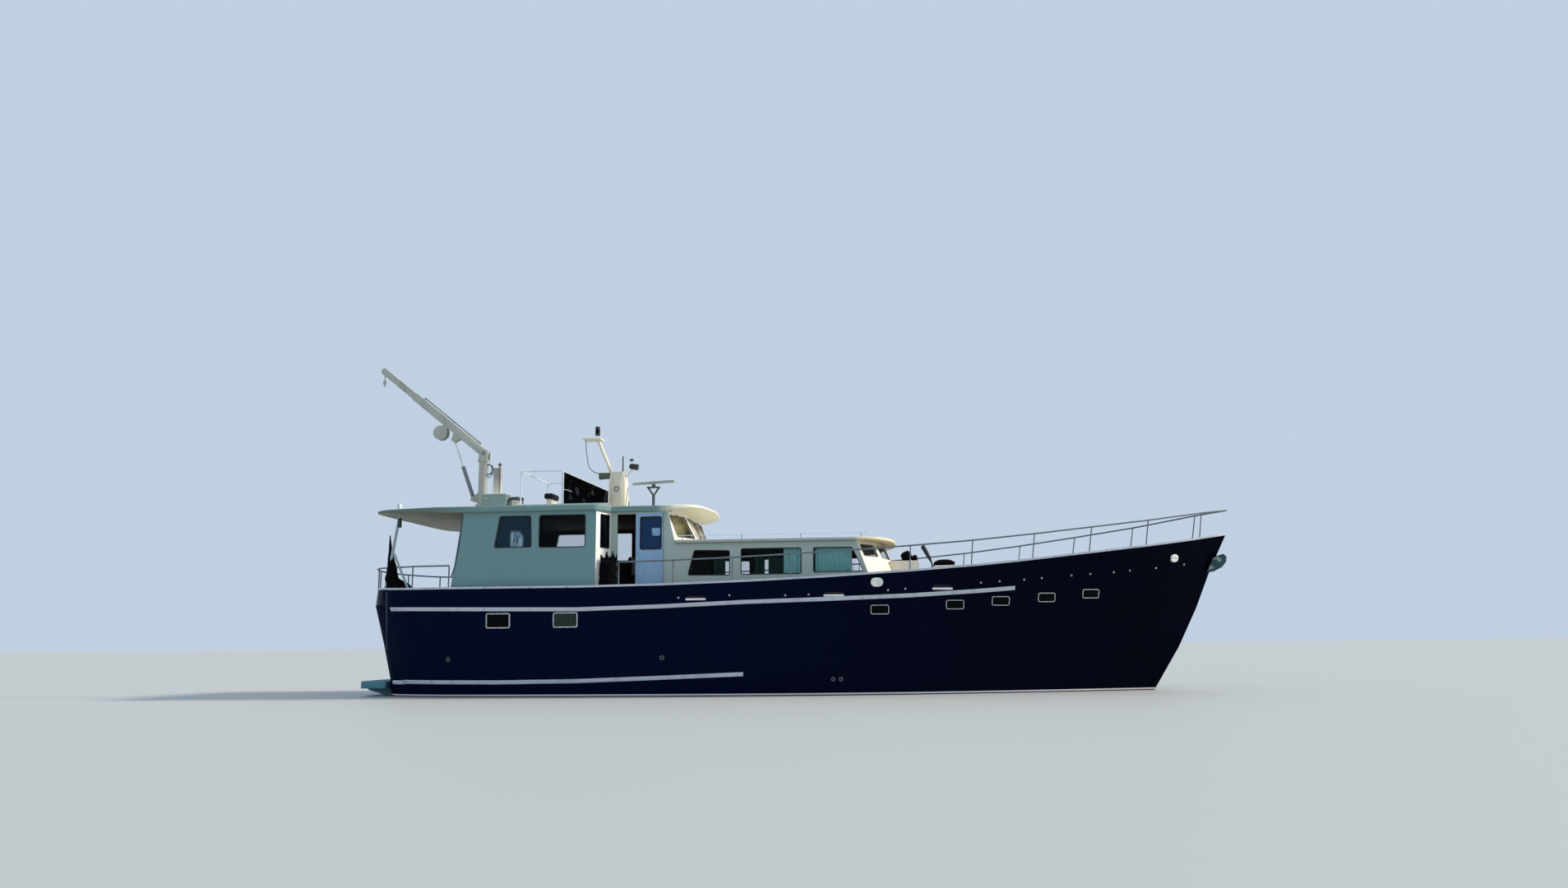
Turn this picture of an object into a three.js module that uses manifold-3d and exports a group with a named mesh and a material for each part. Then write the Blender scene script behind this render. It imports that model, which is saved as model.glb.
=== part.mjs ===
// Steel motor yacht of the trawler type, 22 m long, afloat.
// Millimetres. +X points to the bow, +Y to port, +Z up.
// The origin is on the centreline amidships at the waterline.
import * as THREE from "three";
import { mergeVertices } from "three/addons/utils/BufferGeometryUtils.js";
import Module from "manifold-3d";

const wasm = await Module();
wasm.setup();

// Driving dimensions
const GAP = 0.3; // between pieces that rest on each other
const STEM_HALF = 35; // half thickness of the stem bar
const BULWARK = 50; // thickness
const CAP = { out: 25, in: 62, height: 50 }; // cap rail on the bulwark
const RUB = { height: 110, proud: 55 };
const HOUSE_Y = 1950; // outer face of the wheelhouse and saloon sides
const CABIN_Y = 2555; // outer face of the aft cabin sides
const WALL = 45; // thickness of the deckhouse walls
const PANE = 8;
const ROOF = { bottom: 4500, height: 150, halfBeam: 2640, aft: -10440, step: -4600 };
const SALOON_ROOF = { bottom: 3700, height: 80 };
const ROOF_TOP = ROOF.bottom + ROOF.height;

// Colours
const NAVY = ["#06112e", 0.35, 0.1];
const RED = ["#5a2a26", 0.7, 0];
const WHITE = ["#d9dde0", 0.4, 0];
const CREAM = ["#e9e4d2", 0.45, 0];
const CABIN = ["#c9d6d8", 0.45, 0];
const GLASS = ["#10202a", 0.08, 0];
const STEEL = ["#b9bec2", 0.3, 0.9];
const BRONZE = ["#9a7b45", 0.35, 0.9];
const BLACK = ["#0d0e10", 0.8, 0];
const TEAK = ["#40525a", 0.7, 0];

// Lines of the hull as [x, z] tables
const SHEER = [
  [-11000, 2775], [-10400, 2700], [-9700, 2665], [-8000, 2660], [-5100, 2650], [-2930, 2676], [-1050, 2730],
  [920, 2813], [2870, 2931], [4340, 3038], [5710, 3171], [7330, 3361], [9000, 3567], [10000, 3712],
  [11000, 3880],
];
const UPPER_RUB = [
  [-11000, 2170], [-9610, 2145], [-7100, 2106], [-5050, 2080], [-3030, 2126], [-1050, 2205], [920, 2255],
  [2860, 2318], [4770, 2432], [5510, 2490], [8000, 2720], [11000, 3000],
];
const LOWER_RUB = [
  [-11000, 385], [-9610, 368], [-7040, 354], [-5000, 377], [-3000, 442], [-990, 516], [3000, 700],
  [11000, 1150],
];
const DECK = [
  [-11000, 2270], [-8000, 2250], [-5000, 2250], [-2000, 2310], [1000, 2400], [3800, 2520], [6500, 2730],
  [9000, 2950], [11000, 3140],
];
// Stem and transom: how far each height lies from its place at the waterline and at the knuckle, as [z, dx]
const STEM = [
  [-1850, -3500], [-1600, -2000], [-1100, -1000], [-500, -400], [0, 0], [380, 245], [780, 505], [1330, 805],
  [2370, 1315], [2880, 1505], [3880, 2000],
];
const TRANSOM = [[-400, 560], [0, 500], [385, 460], [660, 420], [1540, 200], [2330, 0], [2775, 85]];
// Hull stations from the transom to the stem. lean is the share of the transom's (-) or the stem's (+) slope,
// water and sheer are half breadths, flare and bilge are exponents of the section's curves.
const STATIONS = [
  // x, lean, bottom, water, sheer, flare, bilge
  [-10965, -1, -60, 480, 500, 1, 0.7],
  [-10860, -1, -80, 930, 1000, 1, 0.7],
  [-10690, -1, -110, 1360, 1500, 1, 0.7],
  [-10440, -0.95, -150, 1700, 2000, 1, 0.7],
  [-10200, -0.85, -200, 1850, 2260, 0.8, 0.7],
  [-9900, -0.7, -270, 1960, 2420, 0.7, 0.7],
  [-9400, -0.4, -380, 2110, 2550, 0.6, 0.7],
  [-8500, -0.1, -650, 2330, 2650, 0.5, 0.7],
  [-7000, 0, -1000, 2520, 2725, 0.5, 0.7],
  [-5000, 0, -1280, 2620, 2760, 0.5, 0.7],
  [-3000, 0, -1360, 2660, 2760, 0.5, 0.7],
  [-990, 0, -1380, 2620, 2735, 0.5, 0.7],
  [1000, 0, -1400, 2480, 2660, 0.6, 0.8],
  [3000, 0, -1430, 2150, 2440, 0.9, 1],
  [4500, 0.08, -1480, 1740, 2190, 1.1, 1.2],
  [5300, 0.15, -1520, 1480, 2020, 1.2, 1.4],
  [6300, 0.28, -1560, 1130, 1730, 1.3, 1.6],
  [7100, 0.42, -1580, 820, 1410, 1.4, 1.8],
  [7900, 0.6, -1600, 500, 1010, 1.4, 2],
  [8500, 0.8, -1600, 240, 530, 1.3, 2.2],
  [8800, 0.92, -1600, 115, 220, 1.2, 2],
  [9000, 1, -1600, STEM_HALF, STEM_HALF + 10, 1, 1],
].map(([x, lean, bottom, water, sheer, flare, bilge]) => ({ x, lean, bottom, water, sheer, flare, bilge }));
const RUB_AFT = 5; // first station of the rub rails, the quarter
const UPPER_RUB_FORE = 15;
const LOWER_RUB_FORE = 11;

// Helpers

function lookup(table, x) {
  const last = table.length - 1;
  if (x <= table[0][0]) return table[0][1];
  if (x >= table[last][0]) return table[last][1];
  const i = table.findIndex((row) => row[0] > x);
  const [x0, z0] = table[i - 1];
  const [x1, z1] = table[i];
  return z0 + ((z1 - z0) * (x - x0)) / (x1 - x0);
}

function geometryFrom(positions, index) {
  const g = new THREE.BufferGeometry();
  g.setAttribute("position", new THREE.BufferAttribute(new Float32Array(positions), 3));
  g.setIndex(index);
  return g;
}

function signedVolume(g) {
  const p = g.getAttribute("position");
  const a = new THREE.Vector3();
  const b = new THREE.Vector3();
  const c = new THREE.Vector3();
  let sum = 0;
  for (let i = 0; i < g.index.count; i += 3) {
    a.fromBufferAttribute(p, g.index.getX(i));
    b.fromBufferAttribute(p, g.index.getX(i + 1));
    c.fromBufferAttribute(p, g.index.getX(i + 2));
    sum += a.dot(b.cross(c));
  }
  return sum / 6;
}

// A closed surface through rings of equal length, with flat ends.
function loft(rings) {
  const n = rings[0].length;
  const positions = rings.flat().flat();
  const index = [];
  for (let r = 0; r < rings.length - 1; r++)
    for (let k = 0; k < n; k++) {
      const a = r * n + k;
      const b = r * n + ((k + 1) % n);
      index.push(a, b, b + n, a, b + n, a + n);
    }
  const end = (rings.length - 1) * n;
  for (let k = 1; k < n - 1; k++) index.push(0, k + 1, k, end, end + k, end + k + 1);
  const g = geometryFrom(positions, index);
  if (signedVolume(g) < 0) {
    const turned = [];
    for (let i = 0; i < index.length; i += 3) turned.push(index[i], index[i + 2], index[i + 1]);
    g.setIndex(turned);
  }
  return g;
}

function solid(geometry) {
  const bare = new THREE.BufferGeometry().setAttribute("position", geometry.getAttribute("position"));
  if (geometry.index) bare.setIndex(geometry.index);
  const merged = mergeVertices(bare, 1e-2);
  const kept = [];
  const source = merged.index.array;
  for (let i = 0; i < source.length; i += 3) {
    const [a, b, c] = source.slice(i, i + 3);
    if (a !== b && b !== c && c !== a) kept.push(a, b, c);
  }
  return new wasm.Manifold(
    new wasm.Mesh({
      numProp: 3,
      vertProperties: merged.attributes.position.array,
      triVerts: new Uint32Array(kept),
    }),
  );
}

function geometryOf(manifold) {
  const mesh = manifold.getMesh();
  return geometryFrom(mesh.vertProperties, new THREE.BufferAttribute(mesh.triVerts, 1));
}

const join = (...parts) => geometryOf(parts.map(solid).reduce((a, b) => a.add(b)));
const cut = (base, ...tools) => geometryOf(tools.map(solid).reduce((a, b) => a.subtract(b), solid(base)));

function block([x0, x1], [y0, y1], [z0, z1]) {
  const box = new THREE.BoxGeometry(x1 - x0, y1 - y0, z1 - z0);
  return box.translate((x0 + x1) / 2, (y0 + y1) / 2, (z0 + z1) / 2);
}

// An outline swept along an axis: points are [x, y] along z, [x, z] along y and [y, z] along x.
function prism(points, axis, from, to) {
  const drawn = points instanceof THREE.Shape;
  const shape = drawn ? points : new THREE.Shape(points.map(([u, v]) => new THREE.Vector2(u, v)));
  const g = new THREE.ExtrudeGeometry(shape, { depth: to - from, bevelEnabled: false, curveSegments: 6 });
  const m = new THREE.Matrix4();
  const X = new THREE.Vector3(1, 0, 0);
  const Y = new THREE.Vector3(0, 1, 0);
  const Z = new THREE.Vector3(0, 0, 1);
  if (axis === "z") m.makeBasis(X, Y, Z).setPosition(0, 0, from);
  if (axis === "y") m.makeBasis(X, Z, Y.clone().negate()).setPosition(0, to, 0);
  if (axis === "x") m.makeBasis(Y, Z, X).setPosition(from, 0, 0);
  return g.applyMatrix4(m);
}

// A rounded outline through corners, each cut by an arc of the given radius.
function rounded(corners, radius) {
  const shape = new THREE.Shape();
  const v = corners.map(([x, y]) => new THREE.Vector2(x, y));
  v.forEach((p, i) => {
    const before = v[(i + v.length - 1) % v.length];
    const after = v[(i + 1) % v.length];
    const a = p.clone().add(before.clone().sub(p).setLength(radius));
    const b = p.clone().add(after.clone().sub(p).setLength(radius));
    if (i === 0) shape.moveTo(a.x, a.y);
    else shape.lineTo(a.x, a.y);
    shape.quadraticCurveTo(p.x, p.y, b.x, b.y);
  });
  return shape;
}

const rectangle = (x0, x1, z0, z1) => [[x0, z0], [x1, z0], [x1, z1], [x0, z1]];

function rod(from, to, radius, sides = 10, endRadius = radius) {
  const a = new THREE.Vector3(...from);
  const b = new THREE.Vector3(...to);
  const along = b.clone().sub(a);
  const g = new THREE.CylinderGeometry(endRadius, radius, along.length(), sides);
  const direction = along.clone().normalize();
  const turn = new THREE.Quaternion().setFromUnitVectors(new THREE.Vector3(0, 1, 0), direction);
  return g.applyQuaternion(turn).translate(...a.add(b).multiplyScalar(0.5).toArray());
}

// A tube through points, mitred at each bend.
function pipe(points, radius, sides = 8) {
  const p = points.map((q) => new THREE.Vector3(...q));
  const up = new THREE.Vector3(0, 0, 1);
  const rings = p.map((q, i) => {
    const back = p[Math.max(i - 1, 0)];
    const ahead = p[Math.min(i + 1, p.length - 1)];
    const along = ahead.clone().sub(q).normalize().add(q.clone().sub(back).normalize()).normalize();
    const side = up.clone().cross(along).normalize();
    const top = along.clone().cross(side).normalize();
    return Array.from({ length: sides }, (_, k) => {
      const t = (2 * Math.PI * (k + 0.5)) / sides;
      const r = q.clone().addScaledVector(side, radius * Math.cos(t));
      return r.addScaledVector(top, radius * Math.sin(t)).toArray();
    });
  });
  return loft(rings);
}

function mirrored(geometry) {
  const g = geometry.clone().scale(1, -1, 1);
  const plain = g.index ? g.toNonIndexed() : g;
  const p = plain.getAttribute("position");
  for (let i = 0; i < p.count; i += 3) {
    const b = [p.getX(i + 1), p.getY(i + 1), p.getZ(i + 1)];
    p.setXYZ(i + 1, p.getX(i + 2), p.getY(i + 2), p.getZ(i + 2));
    p.setXYZ(i + 2, ...b);
  }
  return plain;
}

const toPort = ([x, y, z]) => [x, -y, z];

// A line of [x, y] points that ends on the centreline, with its mirror image on the other side
const bothSides = (half) => [...half, ...half.slice(0, -1).map(([x, y]) => [x, -y]).reverse()];

const boat = new THREE.Group();

function add(name, [color, roughness, metalness], geometry) {
  const material = new THREE.MeshStandardMaterial({ color, roughness, metalness });
  const mesh = new THREE.Mesh(geometry, material);
  mesh.name = name;
  boat.add(mesh);
  return geometry;
}

// A piece on the starboard side and its mirror image on the port side, each cut by what it rests on.
function addPair(name, finish, starboard, ...tools) {
  add(name + "_starboard", finish, cut(starboard, ...tools));
  add(name + "_port", finish, cut(mirrored(starboard), ...tools));
}

// Hull

const lean = (s, z) => (s.lean > 0 ? s.lean * lookup(STEM, z) : -s.lean * lookup(TRANSOM, z));

// Where a line of the hull crosses a station, as { x, z }.
function crossing(s, table, dz = 0) {
  let x = s.x;
  let z = 0;
  for (let i = 0; i < 4; i++) {
    z = lookup(table, x) + dz;
    x = s.x + lean(s, z);
  }
  return { x, z };
}

function halfBreadth(s, z) {
  const top = crossing(s, SHEER).z;
  return s.water + (s.sheer - s.water) * Math.max(z / top, 0) ** s.flare;
}

const RUB_ROWS = [
  (s) => crossing(s, LOWER_RUB, -RUB.height / 2),
  (s) => crossing(s, LOWER_RUB, RUB.height / 2),
  (s) => crossing(s, UPPER_RUB, -RUB.height / 2),
  (s) => crossing(s, UPPER_RUB, RUB.height / 2),
];
const MID_ROW = (s) => {
  const low = crossing(s, LOWER_RUB);
  const high = crossing(s, UPPER_RUB);
  const z = (low.z + high.z) / 2;
  return { x: s.x + lean(s, z), z };
};

// One side's points of a hull section, from the bottom to the deck edge, as [x, y, z].
function halfSection(s, grow) {
  const points = [];
  for (const share of [0, 0.3, 0.55, 0.78, 1]) {
    const t = (share * Math.PI) / 2;
    const z = share === 1 ? 0 : s.bottom * Math.cos(t);
    points.push([s.x + lean(s, z), s.water * Math.sin(t) ** s.bilge + grow * share, z - grow * (1 - share)]);
  }
  const rows = [RUB_ROWS[0], RUB_ROWS[1], MID_ROW, RUB_ROWS[2], RUB_ROWS[3]];
  for (const row of rows) {
    const { x, z } = row(s);
    points.push([x, halfBreadth(s, z) + grow, z]);
  }
  const deck = crossing(s, DECK);
  points.push([deck.x, halfBreadth(s, deck.z) + grow, deck.z + grow]);
  return points;
}

function hullSolid(grow) {
  const rings = STATIONS.map((s, i) => {
    const half = halfSection(s, grow);
    const shift = i === 0 ? -grow : i === STATIONS.length - 1 ? grow : 0;
    const port = half.map(([x, y, z]) => [x + shift, y, z]);
    const starboard = half.slice(1).map(([x, y, z]) => [x + shift, -y, z]).reverse();
    return [...port, ...starboard];
  });
  return loft(rings);
}

const hullBody = hullSolid(0);
const hullSkin = hullSolid(GAP);

const RUDDER = {
  x: -9000, stock: 55, trunk: 100, trunkBottom: -700, blade: [-800, -1930], chord: [110, -840], corner: 60,
  thick: 110, pintle: 40,
};
const rudderTrunk = rod([RUDDER.x, 0, -300], [RUDDER.x, 0, RUDDER.trunkBottom], RUDDER.trunk, 16);
add("hull", NAVY, join(hullBody, rudderTrunk));

// Keel with the stern tube and the sole under the propeller
const KEEL_HALF = 120;
const SHAFT_Z = -1350;
const TUBE = { fore: -7600, aft: -8180, radius: 90 };
const SOLE = { aft: -9700, fore: -8050, top: [-1990, -1950] };
const keelProfile = [
  [7000, -1560], [5500, -1850], [-8000, -2050], [SOLE.aft, -2080], [SOLE.aft, SOLE.top[0]],
  [SOLE.fore, SOLE.top[1]], [-7750, -1500], [TUBE.fore, -900], [-6000, -900], [7000, -1300],
];
const keel = join(
  prism(keelProfile, "y", -KEEL_HALF, KEEL_HALF),
  rod([TUBE.fore, 0, SHAFT_Z], [TUBE.aft, 0, SHAFT_Z], TUBE.radius, 16),
);
add("keel", RED, cut(keel, hullSkin));

// Rudder on its stock, standing on the sole
const rudderBlade = prism(
  rounded(
    [
      [RUDDER.x + RUDDER.chord[0], RUDDER.blade[0]],
      [RUDDER.x + RUDDER.chord[1] + RUDDER.corner, RUDDER.blade[0]],
      [RUDDER.x + RUDDER.chord[1], RUDDER.blade[1]],
      [RUDDER.x + RUDDER.chord[0], RUDDER.blade[1]],
    ],
    RUDDER.corner,
  ),
  "y",
  -RUDDER.thick / 2,
  RUDDER.thick / 2,
);
const soleTop = lookup([[SOLE.aft, SOLE.top[0]], [SOLE.fore, SOLE.top[1]]], RUDDER.x);
add(
  "rudder",
  RED,
  join(
    rudderBlade,
    rod([RUDDER.x, 0, RUDDER.trunkBottom - GAP], [RUDDER.x, 0, RUDDER.blade[0] - 100], RUDDER.stock, 12),
    rod([RUDDER.x, 0, RUDDER.blade[1] + 40], [RUDDER.x, 0, soleTop + 8], RUDDER.pintle, 12),
  ),
);

// Propeller: four blades turned on a hub
const PROP = { x: -8420, radius: 550, hub: 95, hubHalf: 150, cone: 110, blades: 4, pitch: 302 };
function propellerBlade(angle) {
  const stationsOut = [
    // radius, half chord, half thickness
    [60, 110, 26],
    [250, 190, 18],
    [420, 200, 12],
    [PROP.radius, 90, 6],
  ];
  const rings = stationsOut.map(([r, chord, thick]) => {
    const twist = Math.atan2(PROP.pitch, 1.2 * r + 120);
    const corner = (u, v) => {
      const side = u * Math.cos(twist) - v * Math.sin(twist);
      return [
        PROP.x + u * Math.sin(twist) + v * Math.cos(twist),
        r * Math.cos(angle) - side * Math.sin(angle),
        SHAFT_Z + r * Math.sin(angle) + side * Math.cos(angle),
      ];
    };
    return [corner(-chord, 0), corner(0, -thick), corner(chord, 0), corner(0, thick)];
  });
  return loft(rings);
}
const bladeAngles = Array.from({ length: PROP.blades }, (_, k) => (k * 2 * Math.PI) / PROP.blades);
const hubAft = PROP.x - PROP.hubHalf;
add(
  "propeller",
  BRONZE,
  join(
    rod([TUBE.aft - 0.5, 0, SHAFT_Z], [hubAft, 0, SHAFT_Z], PROP.hub, 16),
    rod([hubAft, 0, SHAFT_Z], [hubAft - PROP.cone, 0, SHAFT_Z], PROP.hub * 0.9, 16, 30),
    ...bladeAngles.map(propellerBlade),
  ),
);

// Swim platform behind the transom
const PLATFORM = { bottom: 200, top: 370 };
const platformHalf = [
  [-11100, 0], [-11030, 1000], [-10930, 1550], [-10780, 1850], [-10500, 1930], [-10150, 1850],
];
const platformPlan = [...platformHalf, ...platformHalf.slice(1).map(([x, y]) => [x, -y]).reverse()];
add("swim_platform", TEAK, cut(prism(platformPlan, "z", PLATFORM.bottom, PLATFORM.top), hullSkin));

// Rub rails along the sides
function rubRail(rowLow, rowHigh, first, last) {
  const rings = STATIONS.slice(first, last + 1).map((s) => {
    const low = rowLow(s);
    const high = rowHigh(s);
    const yLow = -halfBreadth(s, low.z);
    const yHigh = -halfBreadth(s, high.z);
    return [
      [low.x, yLow + 30, low.z],
      [low.x, yLow - RUB.proud + 15, low.z + 10],
      [high.x, yHigh - RUB.proud, high.z - 15],
      [high.x, yHigh + 30, high.z],
    ];
  });
  return loft(rings);
}
addPair("rub_rail_upper", WHITE, rubRail(RUB_ROWS[2], RUB_ROWS[3], RUB_AFT, UPPER_RUB_FORE), hullSkin);
addPair("rub_rail_lower", WHITE, rubRail(RUB_ROWS[0], RUB_ROWS[1], RUB_AFT, LOWER_RUB_FORE), hullSkin);

// Bulwark and cap rail: strips that follow the sheer round the boat, from the starboard bow by the stern
// to the port bow. Each point has its outer face and, along the inward normal, its inner face.
const halfRim = [...STATIONS].reverse().map((s) => ({
  deck: crossing(s, DECK),
  cap: crossing(s, SHEER),
  deckY: halfBreadth(s, crossing(s, DECK).z),
  capY: s.sheer,
}));
const rim = [
  ...halfRim.map((r) => ({ ...r, side: -1 })),
  ...halfRim.map((r) => ({ ...r, side: 1 })).reverse(),
];
function inwardNormal(i) {
  const at = (k) => {
    const r = rim[Math.min(Math.max(k, 0), rim.length - 1)];
    return new THREE.Vector2(r.cap.x, r.side * r.capY);
  };
  const along = at(i + 1).sub(at(i - 1)).normalize();
  return new THREE.Vector2(-along.y, along.x).negate();
}
function rimPoint(i, share, inset, z, shiftX = 0) {
  const r = rim[i];
  const n = inwardNormal(i);
  const x = THREE.MathUtils.lerp(r.deck.x, r.cap.x, share) + n.x * inset + shiftX;
  const y = r.side * THREE.MathUtils.lerp(r.deckY, r.capY, share) + n.y * inset;
  const least = GAP / 2;
  return [x, r.side * Math.max(r.side * y, least), z];
}
function bulwark(first, last, shiftFirst = 0, shiftLast = 0) {
  const rings = [];
  for (let i = first; i <= last; i++) {
    const shift = i === first ? shiftFirst : i === last ? shiftLast : 0;
    const low = rim[i].deck.z + GAP;
    const high = rim[i].cap.z - CAP.height + 5;
    const share = (high - rim[i].deck.z) / (rim[i].cap.z - rim[i].deck.z);
    rings.push([
      rimPoint(i, 0, 0, low, shift),
      rimPoint(i, share, 0, high, shift),
      rimPoint(i, share, BULWARK, high, shift),
      rimPoint(i, 0, BULWARK, low, shift),
    ]);
  }
  return loft(rings);
}
function capSolid(grow) {
  const rings = rim.map((r, i) => {
    const low = r.cap.z - CAP.height - grow;
    const high = r.cap.z + grow;
    return [
      rimPoint(i, 1, -CAP.out - grow, low),
      rimPoint(i, 1, -CAP.out - grow, high),
      rimPoint(i, 1, CAP.in + grow, high),
      rimPoint(i, 1, CAP.in + grow, low),
    ];
  });
  const nose = halfRim.slice(0, 3).map((r, i) => {
    const x = r.cap.x + (i === 0 ? CAP.out + grow : 0);
    const y = r.capY + grow;
    const low = r.cap.z - CAP.height - grow;
    const high = r.cap.z + grow;
    return [[x, -y, low], [x, y, low], [x, y, high], [x, -y, high]];
  });
  return join(loft(rings), loft(nose));
}
const cap = capSolid(0);
const capSkin = capSolid(GAP);
add("cap_rail", WHITE, cap);
const onHull = (geometry) => cut(geometry, hullSkin, capSkin);
const QUARTER = STATIONS.length - 1 - RUB_AFT; // the rim's point at the starboard quarter
add("bulwark_starboard", NAVY, onHull(bulwark(0, QUARTER)));
add("bulwark_stern", NAVY, onHull(bulwark(QUARTER, rim.length - 1 - QUARTER, -GAP, -GAP)));
add("bulwark_port", NAVY, onHull(bulwark(rim.length - 1 - QUARTER, rim.length - 1)));

// The sheer's half breadth at any x
const SHEER_PLAN = STATIONS.map((s) => [crossing(s, SHEER).x, s.sheer]);
const onCap = (x, inset, up) => [x, -(lookup(SHEER_PLAN, x) - inset), lookup(SHEER, x) + up];

// Guard rail round the bow
const GUARD = {
  posts: [-4010, -2675, -1240, 150, 1600, 3000, 4470, 5950, 7350, 8800, 10250],
  aft: -4010, rise: 540, bowRise: 600, bow: [11050, 4455], pipe: 20, post: 16, inset: 20,
  lean: [[1000, 0], [7350, 95]], // how far forward the posts lean, as [x, dx]
};
const guardHeight = (x) => lookup([[GUARD.aft, GUARD.rise], [GUARD.bow[0], GUARD.bowRise]], x);
const guardTop = (x) => onCap(x, GUARD.inset, guardHeight(x));
const guardHeads = GUARD.posts.map((x) => guardTop(x + lookup(GUARD.lean, x)));
const bowPoint = [GUARD.bow[0], 0, GUARD.bow[1]];
const guardPosts = GUARD.posts.flatMap((x, i) => {
  const foot = onCap(x, GUARD.inset, -20);
  const head = guardHeads[i];
  return [rod(foot, head, GUARD.post, 6), rod(toPort(foot), toPort(head), GUARD.post, 6)];
});
const guardRail = join(
  pipe([...guardHeads, bowPoint], GUARD.pipe),
  pipe([...guardHeads.map(toPort), bowPoint], GUARD.pipe),
  ...guardPosts,
);
add("guard_rail", STEEL, cut(guardRail, capSkin));

// Stern rail from the aft cabin round the stern
const STERN = { top: 3190, pipe: 20, post: 17, inset: 20 };
// The line passes inboard of the roof posts.
const sternPlan = [
  [-8330, 2640], [-9300, 2540], [-9650, 2350], [-10000, 2225], [-10400, 2020], [-10640, 1600],
  [-10860, 900], [-10930, 400],
];
const sternLine = sternPlan.map(([x, y]) => [x + 20, -(y - STERN.inset), STERN.top]);
const sternPosts = [0, 1, 4, 6].flatMap((i) => {
  const [x, y, z] = sternLine[i];
  const foot = [x, y, lookup(SHEER, x) - 20];
  return [rod(foot, [x, y, z], STERN.post, 6), rod(toPort(foot), [x, -y, z], STERN.post, 6)];
});
const sternRail = join(pipe([...sternLine, ...sternLine.map(toPort).reverse()], STERN.pipe), ...sternPosts);
add("stern_rail", STEEL, cut(sternRail, capSkin));

// Roofs. The main roof covers the aft cabin and aft deck, steps in at the wheelhouse and ends in a visor.
// It thins towards its aft end, and towards the visor's front edge.
const VISOR = { half: 2060, from: -3100, nose: -2050, lift: { bottom: 140, top: 40 } };
const TAPER = { bottomFrom: -8400, bottomRise: 45, topFrom: -8750, topFall: 55 };
const BRIM_STEPS = 6; // corners round each half of the saloon's brim
function mainRoof(grow) {
  const edge = ROOF.halfBeam + grow;
  const low = ROOF.bottom - grow;
  const high = ROOF_TOP + grow;
  const flat = [
    [ROOF.aft - grow, 1500], [ROOF.aft + 40 - grow, 2150], [ROOF.aft + 130 - grow, 2400 + grow],
    [ROOF.aft + 300, 2560 + grow], [ROOF.aft + 520, edge], [ROOF.step - 120, edge],
    [ROOF.step + grow, edge - 60], [ROOF.step + 210 + grow, VISOR.half + grow],
    [VISOR.from, VISOR.half + grow],
  ];
  const visor = [
    [VISOR.from, VISOR.half + grow], [-2620, 1990 + grow], [-2330 + grow, 1800 + grow], [-2200 + grow, 1450],
    [-2110 + grow, 750], [VISOR.nose + grow, 0],
  ];
  const whole = (half) => [...half, ...half.map(([x, y]) => [x, -y]).reverse()];
  const lifted = prism(bothSides(visor), "z", low, high);
  const p = lifted.getAttribute("position");
  for (let i = 0; i < p.count; i++) {
    const share = (p.getX(i) - VISOR.from) / (VISOR.nose - VISOR.from);
    const lift = p.getZ(i) > ROOF.bottom + ROOF.height / 2 ? VISOR.lift.top : VISOR.lift.bottom;
    p.setZ(i, p.getZ(i) + lift * share);
  }
  const wedge = (from, z, rise) => {
    const end = ROOF.aft - 100;
    const endZ = z + (rise * (end - from)) / (ROOF.aft - from);
    const away = z - Math.sign(rise) * ROOF.height;
    return prism([[from, z], [end, endZ], [end, away], [from, away]], "y", -2 * edge, 2 * edge);
  };
  const below = wedge(TAPER.bottomFrom, low, TAPER.bottomRise);
  const above = wedge(TAPER.topFrom, high, -TAPER.topFall);
  return join(cut(prism(whole(flat), "z", low, high), below, above), lifted);
}
const roof = mainRoof(0);
const roofSkin = mainRoof(GAP);
add("main_roof", WHITE, roof);

const BRIM = { aft: -2800 + GAP, half: 2040, side: 1750, nose: 2660 };
function saloonRoof() {
  const half = [[BRIM.aft, BRIM.half], [BRIM.side, BRIM.half]];
  for (let k = 1; k <= BRIM_STEPS; k++) {
    const t = ((BRIM_STEPS - k) * Math.PI) / (2 * BRIM_STEPS);
    const x = BRIM.side + (BRIM.nose - BRIM.side) * Math.cos(t) ** 0.8;
    half.push([x, BRIM.half * Math.sin(t) ** 0.8]);
  }
  return prism(bothSides(half), "z", SALOON_ROOF.bottom, SALOON_ROOF.bottom + SALOON_ROOF.height);
}
add("saloon_roof", WHITE, saloonRoof());

// Walls. A side wall is an outline in x and z, cut by its windows and seated on the deck.
const BELOW = 2050; // walls start below the deck and are cut off by it
const WALL_TOP = 4590; // and end inside the roof, which cuts them off
function sideWall(outline, openings, y) {
  const holes = openings.map((o) => prism(o, "y", -y - 50, -y + WALL + 50));
  return cut(prism(outline, "y", -y, -y + WALL), ...holes);
}
const pane = (x0, x1, z0, z1, y) => block([x0, x1], [-y + WALL + GAP, -y + WALL + GAP + PANE], [z0, z1]);

// Aft cabin: a side with two windows and the slanting panel with a tall window that returns to the wheelhouse
const CABIN_AFT = { top: -8020, bottom: -8300 };
const CABIN_FORE = -4640;
const RETURN = { fore: -4420, along: 48, window: [0.3, 0.9], windowZ: [3600, 4420] };
const HOUSE_AFT = RETURN.fore - 60; // aft edge of the wheelhouse side
const cabinSideOutline = [
  [CABIN_AFT.bottom - 60, BELOW], [CABIN_FORE, BELOW], [CABIN_FORE, WALL_TOP], [CABIN_AFT.top, WALL_TOP],
];
const cabinWindows = [
  rounded([[-7200, 3620], [-6265, 3620], [-6290, 4390], [-7080, 4390]], 60),
  rounded(rectangle(-6070, -4910, 3610, 4400), 60),
];
const returnStart = new THREE.Vector2(CABIN_FORE, -CABIN_Y + 1);
const returnEnd = new THREE.Vector2(RETURN.fore, -HOUSE_Y - GAP);
const onReturn = (share, back) => {
  const { x, y } = returnStart.clone().lerp(returnEnd, share);
  return [x - back, y];
};
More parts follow.
